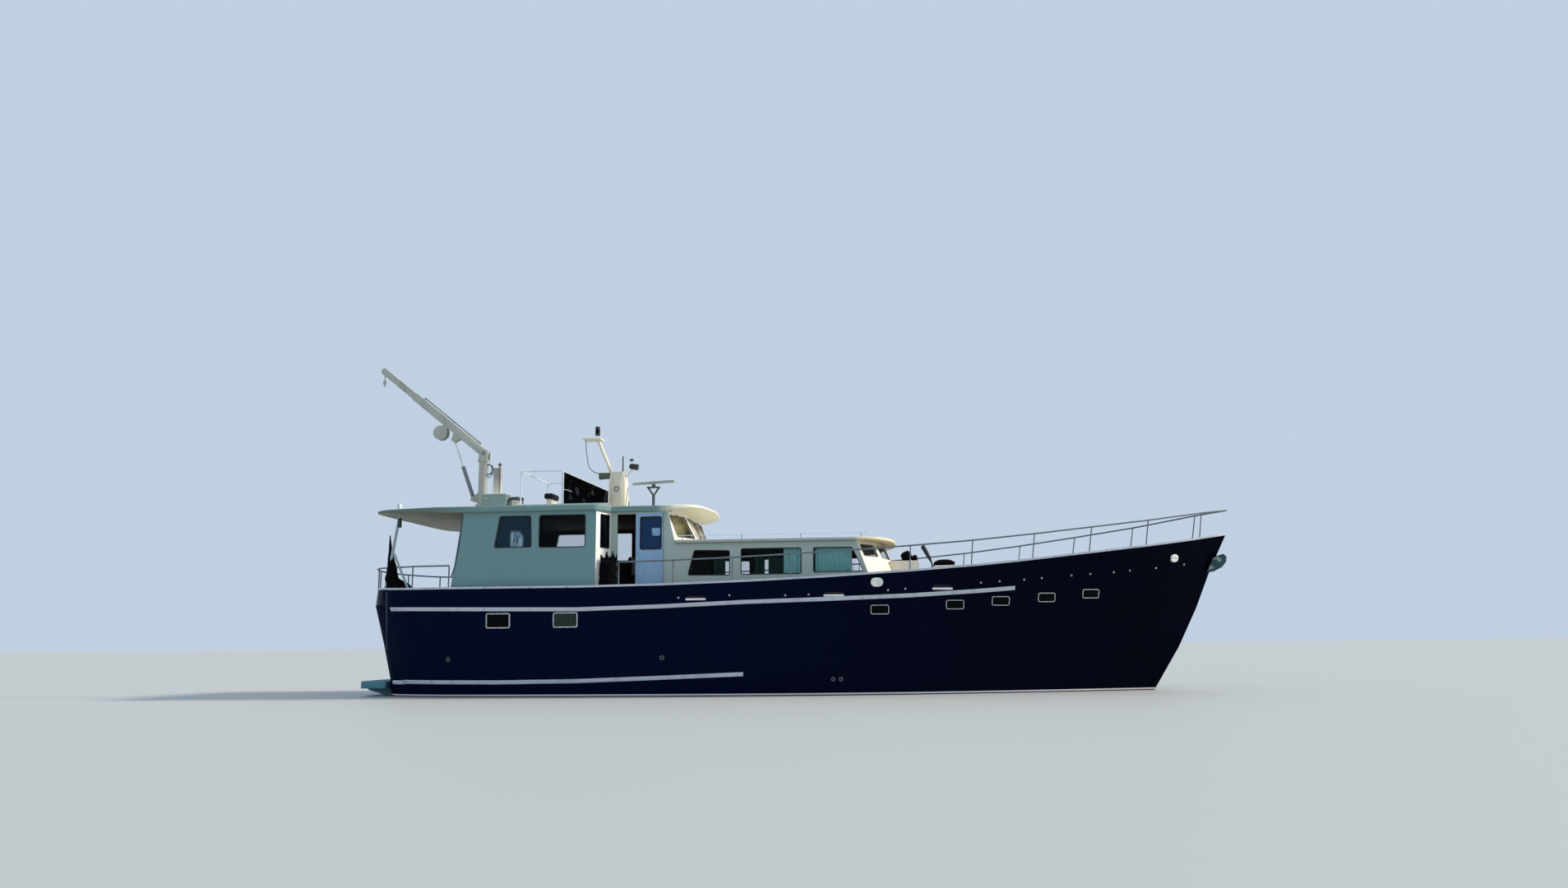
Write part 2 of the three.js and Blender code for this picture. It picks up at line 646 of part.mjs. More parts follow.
const returnPlan = [onReturn(0, 0), onReturn(1, 0), onReturn(1, RETURN.along), onReturn(0, RETURN.along)];
const [holeAft, holeFore] = RETURN.window;
const holePlan = [
  onReturn(holeAft, -50), onReturn(holeFore, -50), onReturn(holeFore, 2 * RETURN.along),
  onReturn(holeAft, 2 * RETURN.along),
];
const returnPanel = cut(prism(returnPlan, "z", BELOW, WALL_TOP), prism(holePlan, "z", ...RETURN.windowZ));
const cabinSide = join(sideWall(cabinSideOutline, cabinWindows, CABIN_Y), returnPanel);
addPair("aft_cabin_side", CABIN, cabinSide, hullSkin, roofSkin);
addPair("aft_cabin_pane", GLASS, pane(-7280, -4850, 3560, 4450, CABIN_Y));

// Aft wall with its doorway, between the sides, and the door hinged on its port jamb
const AFT_WALL = { x: -8000, half: CABIN_Y - WALL - GAP };
const AFT_DOOR = { half: 380, bottom: 2400, top: 4250 };
const aftWall = block([AFT_WALL.x, AFT_WALL.x + WALL], [-AFT_WALL.half, AFT_WALL.half], [BELOW, WALL_TOP]);
const aftHole = block(
  [AFT_WALL.x - 50, AFT_WALL.x + WALL + 50],
  [-AFT_DOOR.half, AFT_DOOR.half],
  [AFT_DOOR.bottom, AFT_DOOR.top],
);
const AFT_LEAF = { in: AFT_WALL.x - 8, out: AFT_WALL.x - 8 - WALL, edge: AFT_DOOR.half + 30 };
const HINGE = { x: AFT_LEAF.out - 14, y: AFT_LEAF.edge + 14, radius: 12, strap: 60, levels: [2700, 3850] };
const knuckle = (z0, z1) => rod([HINGE.x, HINGE.y, z0], [HINGE.x, HINGE.y, z1], HINGE.radius, 10);
const wallKnuckles = HINGE.levels.flatMap((z) => {
  const span = [z + HINGE.strap + GAP, z + 2 * HINGE.strap];
  return [knuckle(...span), block([HINGE.x - 6, AFT_WALL.x + 5], [HINGE.y - 4, HINGE.y + 12], span)];
});
add("aft_cabin_aft_wall", CABIN, join(cut(aftWall, aftHole, hullSkin, roofSkin), ...wallKnuckles));
const leafKnuckles = HINGE.levels.flatMap((z) => [
  knuckle(z, z + HINGE.strap),
  block([HINGE.x - 5, HINGE.x + 17], [HINGE.y - 200, HINGE.y], [z, z + HINGE.strap]),
]);
const aftLeaf = block(
  [AFT_LEAF.out, AFT_LEAF.in],
  [-AFT_LEAF.edge, AFT_LEAF.edge],
  [AFT_DOOR.bottom - 20, AFT_DOOR.top + 20],
);
const aftHandle = rod([AFT_LEAF.out - 52, -320, 3300], [AFT_LEAF.out + 5, -320, 3300], 16, 8);
add("aft_door", CABIN, join(aftLeaf, aftHandle, ...leafKnuckles));

// Wheelhouse side with the doorway and its small window
const HOUSE_FORE = { low: -2800, high: -2980, kneeZ: 3780, topZ: 4520 };
const houseRake = (HOUSE_FORE.high - HOUSE_FORE.low) / (HOUSE_FORE.topZ - HOUSE_FORE.kneeZ);
const houseTop = HOUSE_FORE.high + houseRake * (WALL_TOP - HOUSE_FORE.topZ);
const houseOutline = [
  [HOUSE_AFT, BELOW], [HOUSE_FORE.low, BELOW], [HOUSE_FORE.low, HOUSE_FORE.kneeZ],
  [houseTop, WALL_TOP], [HOUSE_AFT, WALL_TOP],
];
const DOORWAY = { x0: -4250, x1: -3770, bottom: 2560, top: 4450 };
const houseOpenings = [rectangle(DOORWAY.x0, DOORWAY.x1, DOORWAY.bottom, DOORWAY.top)];

// Sliding door, at rest open and forward, hung under a track along the wheelhouse side
const LEAF = { x0: -3770, x1: -3090, bottom: 2480, top: 4470, thick: 40, out: 16 };
const leafY = [-HOUSE_Y - LEAF.out - LEAF.thick, -HOUSE_Y - LEAF.out];
const track = block([-4310, -3060], [leafY[0] - 8, -HOUSE_Y + 5], [LEAF.top + GAP, LEAF.top + 24]);
const houseSide = join(sideWall(houseOutline, houseOpenings, HOUSE_Y), track);
addPair("wheelhouse_side", CABIN, houseSide, hullSkin, roofSkin);
const leafWindow = prism(rounded(rectangle(-3655, -3120, 3560, 4370), 50), "y", leafY[0] - 50, leafY[1] + 50);
const leaf = cut(block([LEAF.x0, LEAF.x1], leafY, [LEAF.bottom, LEAF.top]), leafWindow);
const leafHandle = rod([-3735, leafY[0] - 30, 3400], [-3735, leafY[0] - 30, 3520], 12, 6);
const handleFoot = (z) => rod([-3735, leafY[0] - 30, z], [-3735, leafY[0] + 5, z], 10, 6);
addPair("wheelhouse_door", CABIN, join(leaf, leafHandle, handleFoot(3410), handleFoot(3510)));
addPair("door_pane", GLASS, block([-3690, -3085], [leafY[1] + GAP, leafY[1] + GAP + PANE], [3525, 4405]));

// A faceted front: an open polyline at a low and a high level, starboard to port, as thick as the wall.
function insetLine(line, inset) {
  return line.map(([x, y], i) => {
    const at = (k) => new THREE.Vector2(...line[k]);
    const inward = (a, b) => {
      const d = at(b).sub(at(a)).normalize();
      return new THREE.Vector2(-d.y, d.x);
    };
    if (i === 0 || i === line.length - 1) {
      const n = i === 0 ? inward(0, 1) : inward(i - 1, i);
      return [x, y + inset / n.y];
    }
    const n0 = inward(i - 1, i);
    const n1 = inward(i, i + 1);
    const n = n0.clone().add(n1).normalize();
    const reach = inset / n.dot(n0);
    return [x + n.x * reach, y + n.y * reach];
  });
}
const levelLine = (front, z) => front.low.map(([x, y], i) => {
  const share = (z - front.z[0]) / (front.z[1] - front.z[0]);
  return [x + (front.high[i][0] - x) * share, y + (front.high[i][1] - y) * share];
});
function frontShell(front, outer, inner) {
  const [z0, z1] = front.span;
  const corner = (z, inset) => insetLine(levelLine(front, z), inset);
  const faces = [corner(z0, outer), corner(z1, outer), corner(z1, inner), corner(z0, inner)];
  const zs = [z0, z1, z1, z0];
  const rings = front.low.map((_, i) => faces.map((line, k) => [...line[i], zs[k]]));
  return loft(rings);
}
function frontPane(front, z0, z1) {
  const far = [-9000, 9000];
  const sheet = frontShell(front, WALL + GAP, WALL + GAP + PANE);
  return cut(sheet, block(far, far, [0, z0]), block(far, far, [z1, 9000]));
}
// A window in a facet. Margins are its corners' distances from the facet's ends, in the order of the corners:
// low first end, low second end, high second end, high first end.
function frontHole(front, facet, z0, z1, margins) {
  const edge = (z, k) => new THREE.Vector3(...levelLine(front, z)[k], z);
  const quad = [edge(z0, facet), edge(z0, facet + 1), edge(z1, facet + 1), edge(z1, facet)];
  const low = quad[1].clone().sub(quad[0]).normalize();
  const high = quad[2].clone().sub(quad[3]).normalize();
  [low, low.clone().negate(), high.clone().negate(), high].forEach((v, k) => {
    quad[k].addScaledVector(v, margins[k]);
  });
  const n = quad[1].clone().sub(quad[0]).cross(quad[3].clone().sub(quad[0])).setLength(150);
  return loft([quad.map((q) => q.clone().add(n).toArray()), quad.map((q) => q.clone().sub(n).toArray())]);
}
// The upper line of a front whose facets are flat: each edge is parallel to the one below it.
function upperLine(low, startX, share) {
  const [p0, p1, p2] = low;
  const q0 = [startX, p0[1]];
  const q1 = [q0[0] + share * (p1[0] - p0[0]), q0[1] + share * (p1[1] - p0[1])];
  const reach = -q1[1] / (p2[1] - p1[1]);
  return bothSides([q0, q1, [q1[0] + reach * (p2[0] - p1[0]), 0]]);
}

const HOUSE_LOW = bothSides([[HOUSE_FORE.low + GAP, -HOUSE_Y], [-2370, -800], [-2370, 0]]);
const HOUSE_FRONT = {
  z: [3780, 4520],
  span: [3780 + GAP, WALL_TOP],
  low: HOUSE_LOW,
  high: upperLine(HOUSE_LOW, HOUSE_FORE.high + GAP, 0.65),
};
const HOUSE_MARGINS = [
  [200, 105, 110, 45],
  [70, 50, 50, 70],
];
const [sideMargins, midMargins] = HOUSE_MARGINS;
const otherWay = ([a, b, c, d]) => [b, a, d, c];
const houseWindows = [sideMargins, midMargins, otherWay(midMargins), otherWay(sideMargins)].map(
  (margins, facet) => frontHole(HOUSE_FRONT, facet, 3890, 4410, margins),
);
add(
  "wheelhouse_front",
  CREAM,
  cut(frontShell(HOUSE_FRONT, 0, WALL), roofSkin, ...houseWindows),
);
add("wheelhouse_pane_front", GLASS, frontPane(HOUSE_FRONT, 3850, 4450));

// Saloon: sides with three windows, and the front
const saloonEdge = (z) => 1710 + (3680 - z) * 0.363;
const SALOON_TOP = SALOON_ROOF.bottom - GAP;
const saloonOutline = [
  [HOUSE_FORE.low + GAP, BELOW], [saloonEdge(BELOW), BELOW], [saloonEdge(SALOON_TOP), SALOON_TOP],
  [HOUSE_FORE.low + GAP, SALOON_TOP],
];
const saloonWindows = [
  rounded([[-2460, 2910], [-1420, 2900], [-1420, 3500], [-2300, 3520]], 50),
  rounded(rectangle(-1130, 354, 2910, 3540), 50),
  rounded([[657, 2940], [1874, 2950], [1605, 3535], [665, 3540]], 50),
];
addPair("saloon_side", CABIN, sideWall(saloonOutline, saloonWindows, HOUSE_Y), hullSkin);
const saloonPaneOutline = [[-2560, 2850], [1700, 2850], [1520, 3600], [-2560, 3600]];
const insideY = -HOUSE_Y + WALL + GAP;
addPair("saloon_pane", GLASS, prism(saloonPaneOutline, "y", insideY, insideY + PANE));
const SALOON_LOW = bothSides([[saloonEdge(2300) + GAP, -HOUSE_Y], [2750, -1200], [2950, 0]]);
const SALOON_FRONT = {
  z: [2300, 3700],
  span: [2200, 3700 - GAP],
  low: SALOON_LOW,
  high: upperLine(SALOON_LOW, saloonEdge(3700) + GAP, 0.8),
};
const SALOON_MARGIN = 110;
const saloonFrontWindows = [0, 1, 2, 3].map((facet) => (
  frontHole(SALOON_FRONT, facet, 3330, 3600, Array(4).fill(SALOON_MARGIN))
));
add(
  "saloon_front",
  CREAM,
  cut(frontShell(SALOON_FRONT, 0, WALL), hullSkin, ...saloonFrontWindows),
);
add("saloon_pane_front", GLASS, frontPane(SALOON_FRONT, 3280, 3650));

// Helm console inside the wheelhouse, on the deck
const HELM = { aft: -3450, fore: -2860, top: 3450, slope: 200, half: 900 };
const helmOutline = [
  [HELM.aft, BELOW], [HELM.fore, BELOW], [HELM.fore, HELM.top], [HELM.aft + HELM.slope, HELM.top],
  [HELM.aft, HELM.top - HELM.slope],
];
add("helm_console", TEAK, cut(prism(helmOutline, "y", -HELM.half, HELM.half), hullSkin));

// Posts under the aft end of the main roof, each with a brace
const postTop = [-9750, -2330, ROOF.bottom + 60];
const postFoot = [-10072, -2272, 2662];
const brace = rod([-9880, -2307, 3540], onCap(-9390, 40, -15), 28, 8);
addPair("roof_post", CABIN, join(rod(postTop, postFoot, 36, 8), brace), roofSkin, capSkin);

// Crane on the main roof: a fixed pedestal, a column that slews on it, a boom that luffs at the column's
// head, an extension that slides in the boom, and the luffing cylinder with its rod.
const CRANE = {
  x: -8470, base: 230, pedestal: 150, pedestalTop: 4950, flange: 190, column: 125, columnTop: 6220,
  pivot: [-8440, 6400], elevation: 39, boomLength: 2620, tip: 3800,
};
const RAM = {
  foot: [-8720, 5170], eye: [-9320, 6800], barrel: 52, barrelLength: 950, boreFoot: 110, rodFoot: 525,
  rod: 24, clearance: 0.4, pin: 28, footBoss: 45, neck: 34, eyeBoss: 42,
};
const upright = (z0, z1, radius, sides) => rod([CRANE.x, 0, z0], [CRANE.x, 0, z1], radius, sides);
add(
  "crane_pedestal",
  WHITE,
  join(
    upright(ROOF_TOP + GAP, ROOF_TOP + 40, CRANE.base, 20),
    upright(ROOF_TOP + 10, CRANE.pedestalTop, CRANE.pedestal, 20),
  ),
);
const CHEEK = { in: 95, out: 130 };
const LUG = { in: 65, out: 95 };
const bothPlates = (points, plate) => [
  prism(points, "y", -plate.out, -plate.in),
  prism(points, "y", plate.in, plate.out),
];
const columnHead = [[-8600, 6180], [-8330, 6180], [-8330, 6480], [-8500, 6500], [-8560, 6400]];
const ramLug = [[-8560, 5060], [-8560, 5330], [-8700, 5230], [-8780, 5190], [-8780, 5110], [-8700, 5090]];
const footPin = (y0, y1) => rod([RAM.foot[0], y0, RAM.foot[1]], [RAM.foot[0], y1, RAM.foot[1]], RAM.pin, 12);
add(
  "crane_column",
  WHITE,
  join(
    upright(CRANE.pedestalTop + GAP, CRANE.pedestalTop + 60, CRANE.flange, 20),
    upright(CRANE.pedestalTop + 10, CRANE.columnTop, CRANE.column, 16),
    ...bothPlates(columnHead, CHEEK),
    block([-8590, -8340], [-CHEEK.out, CHEEK.out], [CRANE.columnTop - 50, CRANE.columnTop - 5]),
    ...bothPlates(ramLug, LUG),
    footPin(-LUG.out - 5, -RAM.barrel - GAP),
    footPin(RAM.barrel + GAP, LUG.out + 5),
  ),
);

// The boom is drawn lying along -x from its pivot, then lifted to its elevation.
const lift = THREE.MathUtils.degToRad(CRANE.elevation);
function raised(geometry) {
  return geometry.rotateY(lift).translate(CRANE.pivot[0], 0, CRANE.pivot[1]);
}
const BOOM = { half: 85, depth: 105, wall: 12, start: 60, boreStart: -250 };
const bore = { half: BOOM.half - BOOM.wall, depth: BOOM.depth - BOOM.wall };
const boomTube = cut(
  block([-CRANE.boomLength, BOOM.start], [-BOOM.half, BOOM.half], [-BOOM.depth, BOOM.depth]),
  block([-CRANE.boomLength - 10, BOOM.boreStart], [-bore.half, bore.half], [-bore.depth, bore.depth]),
);
const along = { x: -Math.cos(lift), z: Math.sin(lift) };
const eyeRelative = { x: RAM.eye[0] - CRANE.pivot[0], z: RAM.eye[1] - CRANE.pivot[1] };
const EYE = {
  out: eyeRelative.x * along.x + eyeRelative.z * along.z,
  down: -(eyeRelative.x * along.z - eyeRelative.z * along.x),
};
const boomBottom = -BOOM.depth + 5;
const eyeLug = [
  [-EYE.out - 130, boomBottom], [-EYE.out + 130, boomBottom],
  [-EYE.out + 55, -Math.abs(EYE.down) - 45], [-EYE.out - 55, -Math.abs(EYE.down) - 45],
];
const DRUM = { x: -1363, z: -318, radius: 150, half: 60 };
const drumLug = [
  [DRUM.x - 90, boomBottom], [DRUM.x + 90, boomBottom],
  [DRUM.x + 40, DRUM.z - 40], [DRUM.x - 40, DRUM.z - 40],
];
// The pipe that lies along the top of the boom on three stools
const LINE = { y: 60, z: BOOM.depth + 30, radius: 14, stools: [-330, -1300, -CRANE.boomLength + 230] };
const boom = join(
  boomTube,
  rod([0, -CHEEK.in + GAP, 0], [0, CHEEK.in - GAP, 0], 45, 14),
  ...bothPlates(eyeLug, { in: 50, out: 75 }),
  ...bothPlates(drumLug, { in: DRUM.half, out: DRUM.half + 25 }),
  rod([DRUM.x, -DRUM.half - 5, DRUM.z], [DRUM.x, DRUM.half + 5, DRUM.z], DRUM.radius, 20),
  rod([-300, LINE.y, LINE.z], [-CRANE.boomLength + 200, LINE.y, LINE.z], LINE.radius, 6),
  ...LINE.stools.map((x) => (
    block([x - 20, x + 20], [LINE.y - 20, LINE.y + 20], [BOOM.depth - 5, BOOM.depth + 35])
  )),
);
add("crane_boom", WHITE, raised(boom));

const INNER = { half: bore.half - 5, depth: bore.depth - 5, back: -1300 };
// The hook hangs from the tip; lines are drawn in the boom's own frame, so down is turned by the elevation.
const hang = (length) => [-CRANE.tip + length * Math.sin(lift), 0, -length * Math.cos(lift)];
const extension = join(
  block([-CRANE.tip, INNER.back], [-INNER.half, INNER.half], [-INNER.depth, INNER.depth]),
  block([INNER.back - 200, INNER.back], [-50, 50], [-bore.depth + GAP, -INNER.depth + 5]),
  rod([-CRANE.tip, -45, 0], [-CRANE.tip, 45, 0], 95, 16),
  rod(hang(40), hang(300), 14, 6),
  rod(hang(260), hang(360), 45, 10),
  rod(hang(340), hang(440), 18, 6),
);
add("crane_extension", WHITE, raised(extension));

const ramFoot = new THREE.Vector3(RAM.foot[0], 0, RAM.foot[1]);
const ramEye = new THREE.Vector3(RAM.eye[0], 0, RAM.eye[1]);
const ramLength = ramEye.distanceTo(ramFoot);
const ramAt = (distance) => ramFoot.clone().lerp(ramEye, distance / ramLength).toArray();
const across = ([x, z], half, radius) => rod([x, -half, z], [x, half, z], radius, 12);
const barrelBore = rod(ramAt(RAM.boreFoot), ramAt(RAM.barrelLength + 5), RAM.rod + RAM.clearance, 12);
const barrel = cut(rod(ramAt(70), ramAt(RAM.barrelLength), RAM.barrel, 14), barrelBore);
const ramNeck = rod(ramAt(10), ramAt(90), RAM.neck, 10);
add("crane_cylinder", STEEL, join(barrel, across(RAM.foot, RAM.barrel, RAM.footBoss), ramNeck));
const ramRod = rod(ramAt(RAM.rodFoot), ramAt(ramLength - 30), RAM.rod, 12);
add("crane_rod", STEEL, join(ramRod, across(RAM.eye, 44, RAM.eyeBoss)));

// Exhaust casing with its stack
const STACK = { y: -610, foot: 5190, top: 5900, pipeX: -7800, pipe: 30 };
add(
  "exhaust_casing",
  CABIN,
  join(
    block([-8215, -7540], [-800, -450], [ROOF_TOP + GAP, STACK.foot + 10]),
    block([-7945, -7765], [STACK.y - 90, STACK.y + 90], [STACK.foot, STACK.top]),
    rod([STACK.pipeX, STACK.y, STACK.top - 20], [STACK.pipeX, STACK.y, STACK.top + 130], STACK.pipe, 8),
  ),
);

// Flybridge: a low coaming round it, the weather cloth on it, a rail behind and a seat. In front the coaming
// steps back behind the mast.
const FLY = {
  half: 1200, fore: -4640, waist: -4960, waistHalf: 420, clothAft: -5880, railAft: -7020, railFore: -5920,
  coamingTop: 4845, railTop: 5720, pipe: 19,
};
const CLOTH = { inset: 18, thick: 24, aftTop: 5690, foreTop: 5130 };
function flyStrip(aft, inset, thick) {
  const path = bothSides([
    [aft, -FLY.half], [FLY.fore, -FLY.half], [FLY.waist, -FLY.waistHalf], [FLY.waist, 0],
  ]);
  return [...insetLine(path, inset), ...insetLine(path, inset + thick).reverse()];
}
add("fly_coaming", WHITE, prism(flyStrip(FLY.railAft - 150, 0, 60), "z", ROOF_TOP + GAP, FLY.coamingTop));
const clothStrip = flyStrip(FLY.clothAft, CLOTH.inset, CLOTH.thick);
const clothBlank = prism(clothStrip, "z", FLY.coamingTop + GAP, CLOTH.aftTop + 70);
const aboveCloth = [
  [FLY.clothAft - 100, CLOTH.aftTop + 45], [FLY.clothAft, CLOTH.aftTop], [FLY.fore, CLOTH.foreTop],
  [FLY.fore, 6000], [FLY.clothAft - 100, 6000],
];
add("weather_cloth", BLACK, cut(clothBlank, prism(aboveCloth, "y", -2000, 2000)));
const railY = FLY.half - 30;
const railZ = FLY.railTop - 8;
const flyPipe = (from, to) => rod(from, to, FLY.pipe, 8);
const railPost = (x, y) => flyPipe([x, y, FLY.coamingTop + GAP], [x, y, FLY.railTop]);
const railSide = (y) => [
  railPost(FLY.railAft, y),
  railPost(FLY.railFore, y),
  flyPipe([FLY.railAft, y, railZ], [FLY.railFore, y, railZ]),
];
const railBack = flyPipe([FLY.railAft, -railY, railZ], [FLY.railAft, railY, railZ]);
add("fly_rail", STEEL, join(...railSide(-railY), ...railSide(railY), railBack));
const SEAT = { aft: -6710, fore: -6390, half: 450, cushionBottom: 5050, top: 5250 };
const seatBase = block(
  [SEAT.aft + 60, SEAT.fore - 60],
  [-SEAT.half + 100, SEAT.half - 100],
  [ROOF_TOP + GAP, SEAT.cushionBottom + 10],
);
const seatTop = block([SEAT.aft, SEAT.fore], [-SEAT.half, SEAT.half], [SEAT.cushionBottom, SEAT.top]);
add("fly_seat", WHITE, join(seatBase, seatTop));

// Mast: a pod with a raked spar, its platform and lamp, and a floodlight
const POD = { x0: -4930, x1: -4490, half: 230, shoulder: 5500, top: 5800 };
const podRings = [
  [[POD.x0, ROOF_TOP + GAP], [POD.x1, ROOF_TOP + GAP]],
  [[POD.x0, POD.shoulder], [POD.x1, POD.shoulder]],
  [[POD.x0 + 40, POD.top], [POD.x1 - 50, POD.top]],
].map(([[xa, z], [xb]], i) => {
  const y = POD.half - 30 * i;
  return [[xa, -y, z], [xb, -y, z], [xb, y, z], [xa, y, z]];
});
const SPAR = { foot: [-4860, 0, 5680], head: [-5290, 0, 6700], radius: 45 };
const LAMP = { x: -5310, stem: 22, foot: 6720, bottom: 6825, top: 7030, radius: 60 };
const FLOOD = {
  arm: [-4560, 0, 5640], elbow: [-4300, 0, 5900], back: [-4370, 0, 5960], lens: [-4200, 0, 5930],
};
const ANTENNA = { x: -4600, y: 90, top: 6180, radius: 12 };
add(
  "mast",
  CREAM,
  join(
    loft(podRings),
    rod(SPAR.foot, SPAR.head, SPAR.radius, 10),
    block([-5670, -5170], [-230, 230], [SPAR.head[2] - 10, SPAR.head[2] + 25]),
    rod([LAMP.x, 0, LAMP.foot], [LAMP.x, 0, LAMP.bottom + 5], LAMP.stem, 8),
    rod([LAMP.x, 0, LAMP.bottom], [LAMP.x, 0, LAMP.top], LAMP.radius, 12),
    rod(FLOOD.arm, FLOOD.elbow, 22, 8),
    rod(FLOOD.back, FLOOD.lens, 75, 12),
    rod([ANTENNA.x, ANTENNA.y, POD.top - 10], [ANTENNA.x, ANTENNA.y, ANTENNA.top], ANTENNA.radius, 6),
  ),
);

// Radar: pedestal and turning bar
const RADAR = {
  x: -3755, flange: 130, stem: 40, crotch: 5150, leg: 26, legHead: [150, 5375], plate: [5360, 5390],
  plateHalf: [175, 75], hub: 50, hubTop: 5450, barHalf: [640, 45], barZ: [5470, 5535], turned: -18,
};
const radarLeg = (side) => rod(
  [RADAR.x, 0, RADAR.crotch], [RADAR.x + side * RADAR.legHead[0], 0, RADAR.legHead[1]], RADAR.leg, 8,
);
add(
  "radar_pedestal",
  WHITE,
  join(
    rod([RADAR.x, 0, ROOF_TOP + GAP], [RADAR.x, 0, ROOF_TOP + 25], RADAR.flange, 14),
    rod([RADAR.x, 0, ROOF_TOP + 10], [RADAR.x, 0, RADAR.crotch + 40], RADAR.stem, 12),
    radarLeg(-1),
    radarLeg(1),
    block(
      [RADAR.x - RADAR.plateHalf[0], RADAR.x + RADAR.plateHalf[0]],
      [-RADAR.plateHalf[1], RADAR.plateHalf[1]],
      RADAR.plate,
    ),
    rod([RADAR.x, 0, RADAR.plate[1] - 10], [RADAR.x, 0, RADAR.hubTop], RADAR.hub, 12),
  ),
);
const bar = join(
  rod([0, 0, RADAR.hubTop + GAP], [0, 0, RADAR.barZ[0] + 8], RADAR.hub - 5, 12),
  block([-RADAR.barHalf[0], RADAR.barHalf[0]], [-RADAR.barHalf[1], RADAR.barHalf[1]], RADAR.barZ),
);
add("radar_scanner", WHITE, bar.rotateZ(THREE.MathUtils.degToRad(RADAR.turned)).translate(RADAR.x, 0, 0));

// Foredeck: a locker that fits against the saloon's front, a skylight and the windlass
const onDeck = (geometry) => cut(geometry, hullSkin);
const saloonSolid = loft(SALOON_FRONT.z.map((z) => {
  const plan = [...insetLine(levelLine(SALOON_FRONT, z), -GAP), [0, HOUSE_Y], [0, -HOUSE_Y]];
  return plan.map(([x, y]) => [x, y, z]);
}));
const LOCKER = { aft: 2500, fore: 3260, half: 550, top: 3275 };
const lockerZ = [SALOON_FRONT.z[0] + 10, LOCKER.top];
const locker = block([LOCKER.aft, LOCKER.fore], [-LOCKER.half, LOCKER.half], lockerZ);
add("foredeck_locker", CREAM, cut(locker, hullSkin, saloonSolid));
const SKYLIGHT = { aft: 3640, fore: 4300, half: 500, top: 3150 };
const skylight = block([SKYLIGHT.aft, SKYLIGHT.fore], [-SKYLIGHT.half, SKYLIGHT.half], [BELOW, SKYLIGHT.top]);
add("skylight", CREAM, onDeck(skylight));
const WINDLASS = { x: 9350, shaftZ: 3230, shaft: 60, shaftHalf: 300, drum: 110, drumWidth: 100 };
const windlassRod = (y0, y1, radius, sides) => (
  rod([WINDLASS.x, y0, WINDLASS.shaftZ], [WINDLASS.x, y1, WINDLASS.shaftZ], radius, sides)
);
const drumInner = WINDLASS.shaftHalf - WINDLASS.drumWidth;
add(
  "windlass",
  STEEL,
  onDeck(
    join(
      block([9100, 9600], [-160, 160], [2700, 3180]),
      windlassRod(-WINDLASS.shaftHalf, WINDLASS.shaftHalf, WINDLASS.shaft, 12),
      windlassRod(-WINDLASS.shaftHalf, -drumInner, WINDLASS.drum, 14),
      windlassRod(drumInner, WINDLASS.shaftHalf, WINDLASS.drum, 14),
      block([9270, 9430], [-130, 130], [3150, 3330]),
    ),
  ),
);

// Anchor, drawn up against the stem: two flukes on a crosspiece, and the shank that runs into the bow
const bowRings = halfRim.slice(0, 3).map((r, i) => {
  const x = i === 0 ? GAP : 0;
  return [
    [r.deck.x + x, -r.deckY - GAP, r.deck.z - 20], [r.deck.x + x, r.deckY + GAP, r.deck.z - 20],
    [r.cap.x + x, r.capY + GAP, r.cap.z], [r.cap.x + x, -r.capY - GAP, r.cap.z],
  ];
});
const ANCHOR = {
  head: [10800, 3190], shankEnd: [10500, 3040], fluke: { in: 60, out: 190 }, cross: 45, shank: 40,
};
const flukeOutline = [
  [10600, 3240], [10748, 3318], [10857, 3347], [10929, 3267], [10905, 3142], [10804, 3017], [10598, 2910],
  [10440, 2904],
];
const [headX, headZ] = ANCHOR.head;
const anchor = join(
  ...bothPlates(flukeOutline, ANCHOR.fluke),
  rod([headX, -ANCHOR.fluke.out, headZ], [headX, ANCHOR.fluke.out, headZ], ANCHOR.cross, 10),
  rod([headX, 0, headZ], [ANCHOR.shankEnd[0], 0, ANCHOR.shankEnd[1]], ANCHOR.shank, 8),
);
add("anchor", STEEL, cut(anchor, hullSkin, loft(bowRings)));

const FENDER = { x: -4365, y: -2350, bottom: 2200, top: 3280, radius: 160 };
const fender = rod([FENDER.x, FENDER.y, FENDER.bottom], [FENDER.x, FENDER.y, FENDER.top], FENDER.radius, 14);
add("fender", BLACK, onDeck(fender));

export default boat;
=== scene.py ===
import math

import bpy
import numpy as np
from mathutils import Matrix, Vector
from mathutils.bvhtree import BVHTree


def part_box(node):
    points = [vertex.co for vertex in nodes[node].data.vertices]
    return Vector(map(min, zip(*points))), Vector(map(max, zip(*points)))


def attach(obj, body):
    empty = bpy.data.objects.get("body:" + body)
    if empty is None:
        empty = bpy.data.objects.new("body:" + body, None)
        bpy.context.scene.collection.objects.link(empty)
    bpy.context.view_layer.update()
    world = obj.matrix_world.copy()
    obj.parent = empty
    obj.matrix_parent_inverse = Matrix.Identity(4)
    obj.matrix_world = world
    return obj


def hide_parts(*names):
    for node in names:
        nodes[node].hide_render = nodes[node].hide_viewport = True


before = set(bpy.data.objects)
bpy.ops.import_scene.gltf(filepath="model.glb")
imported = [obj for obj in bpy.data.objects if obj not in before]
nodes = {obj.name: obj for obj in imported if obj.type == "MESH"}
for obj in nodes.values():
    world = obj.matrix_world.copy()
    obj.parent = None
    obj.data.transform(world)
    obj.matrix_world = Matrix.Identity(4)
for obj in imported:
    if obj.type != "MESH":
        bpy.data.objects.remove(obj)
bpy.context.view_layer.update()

# Viewpoint, light and floor
# The camera stands low on the water to starboard, a little forward of amidships, and looks slightly up.
# The boat floats, so the floor lies at its waterline.
EYE = Vector((2.887, -31.095, 1.212))
YAW, PITCH, ROLL = (math.radians(angle) for angle in (5.736, 9.539, 0.521))
LENS = 27.31
SENSOR_WIDTH = 36


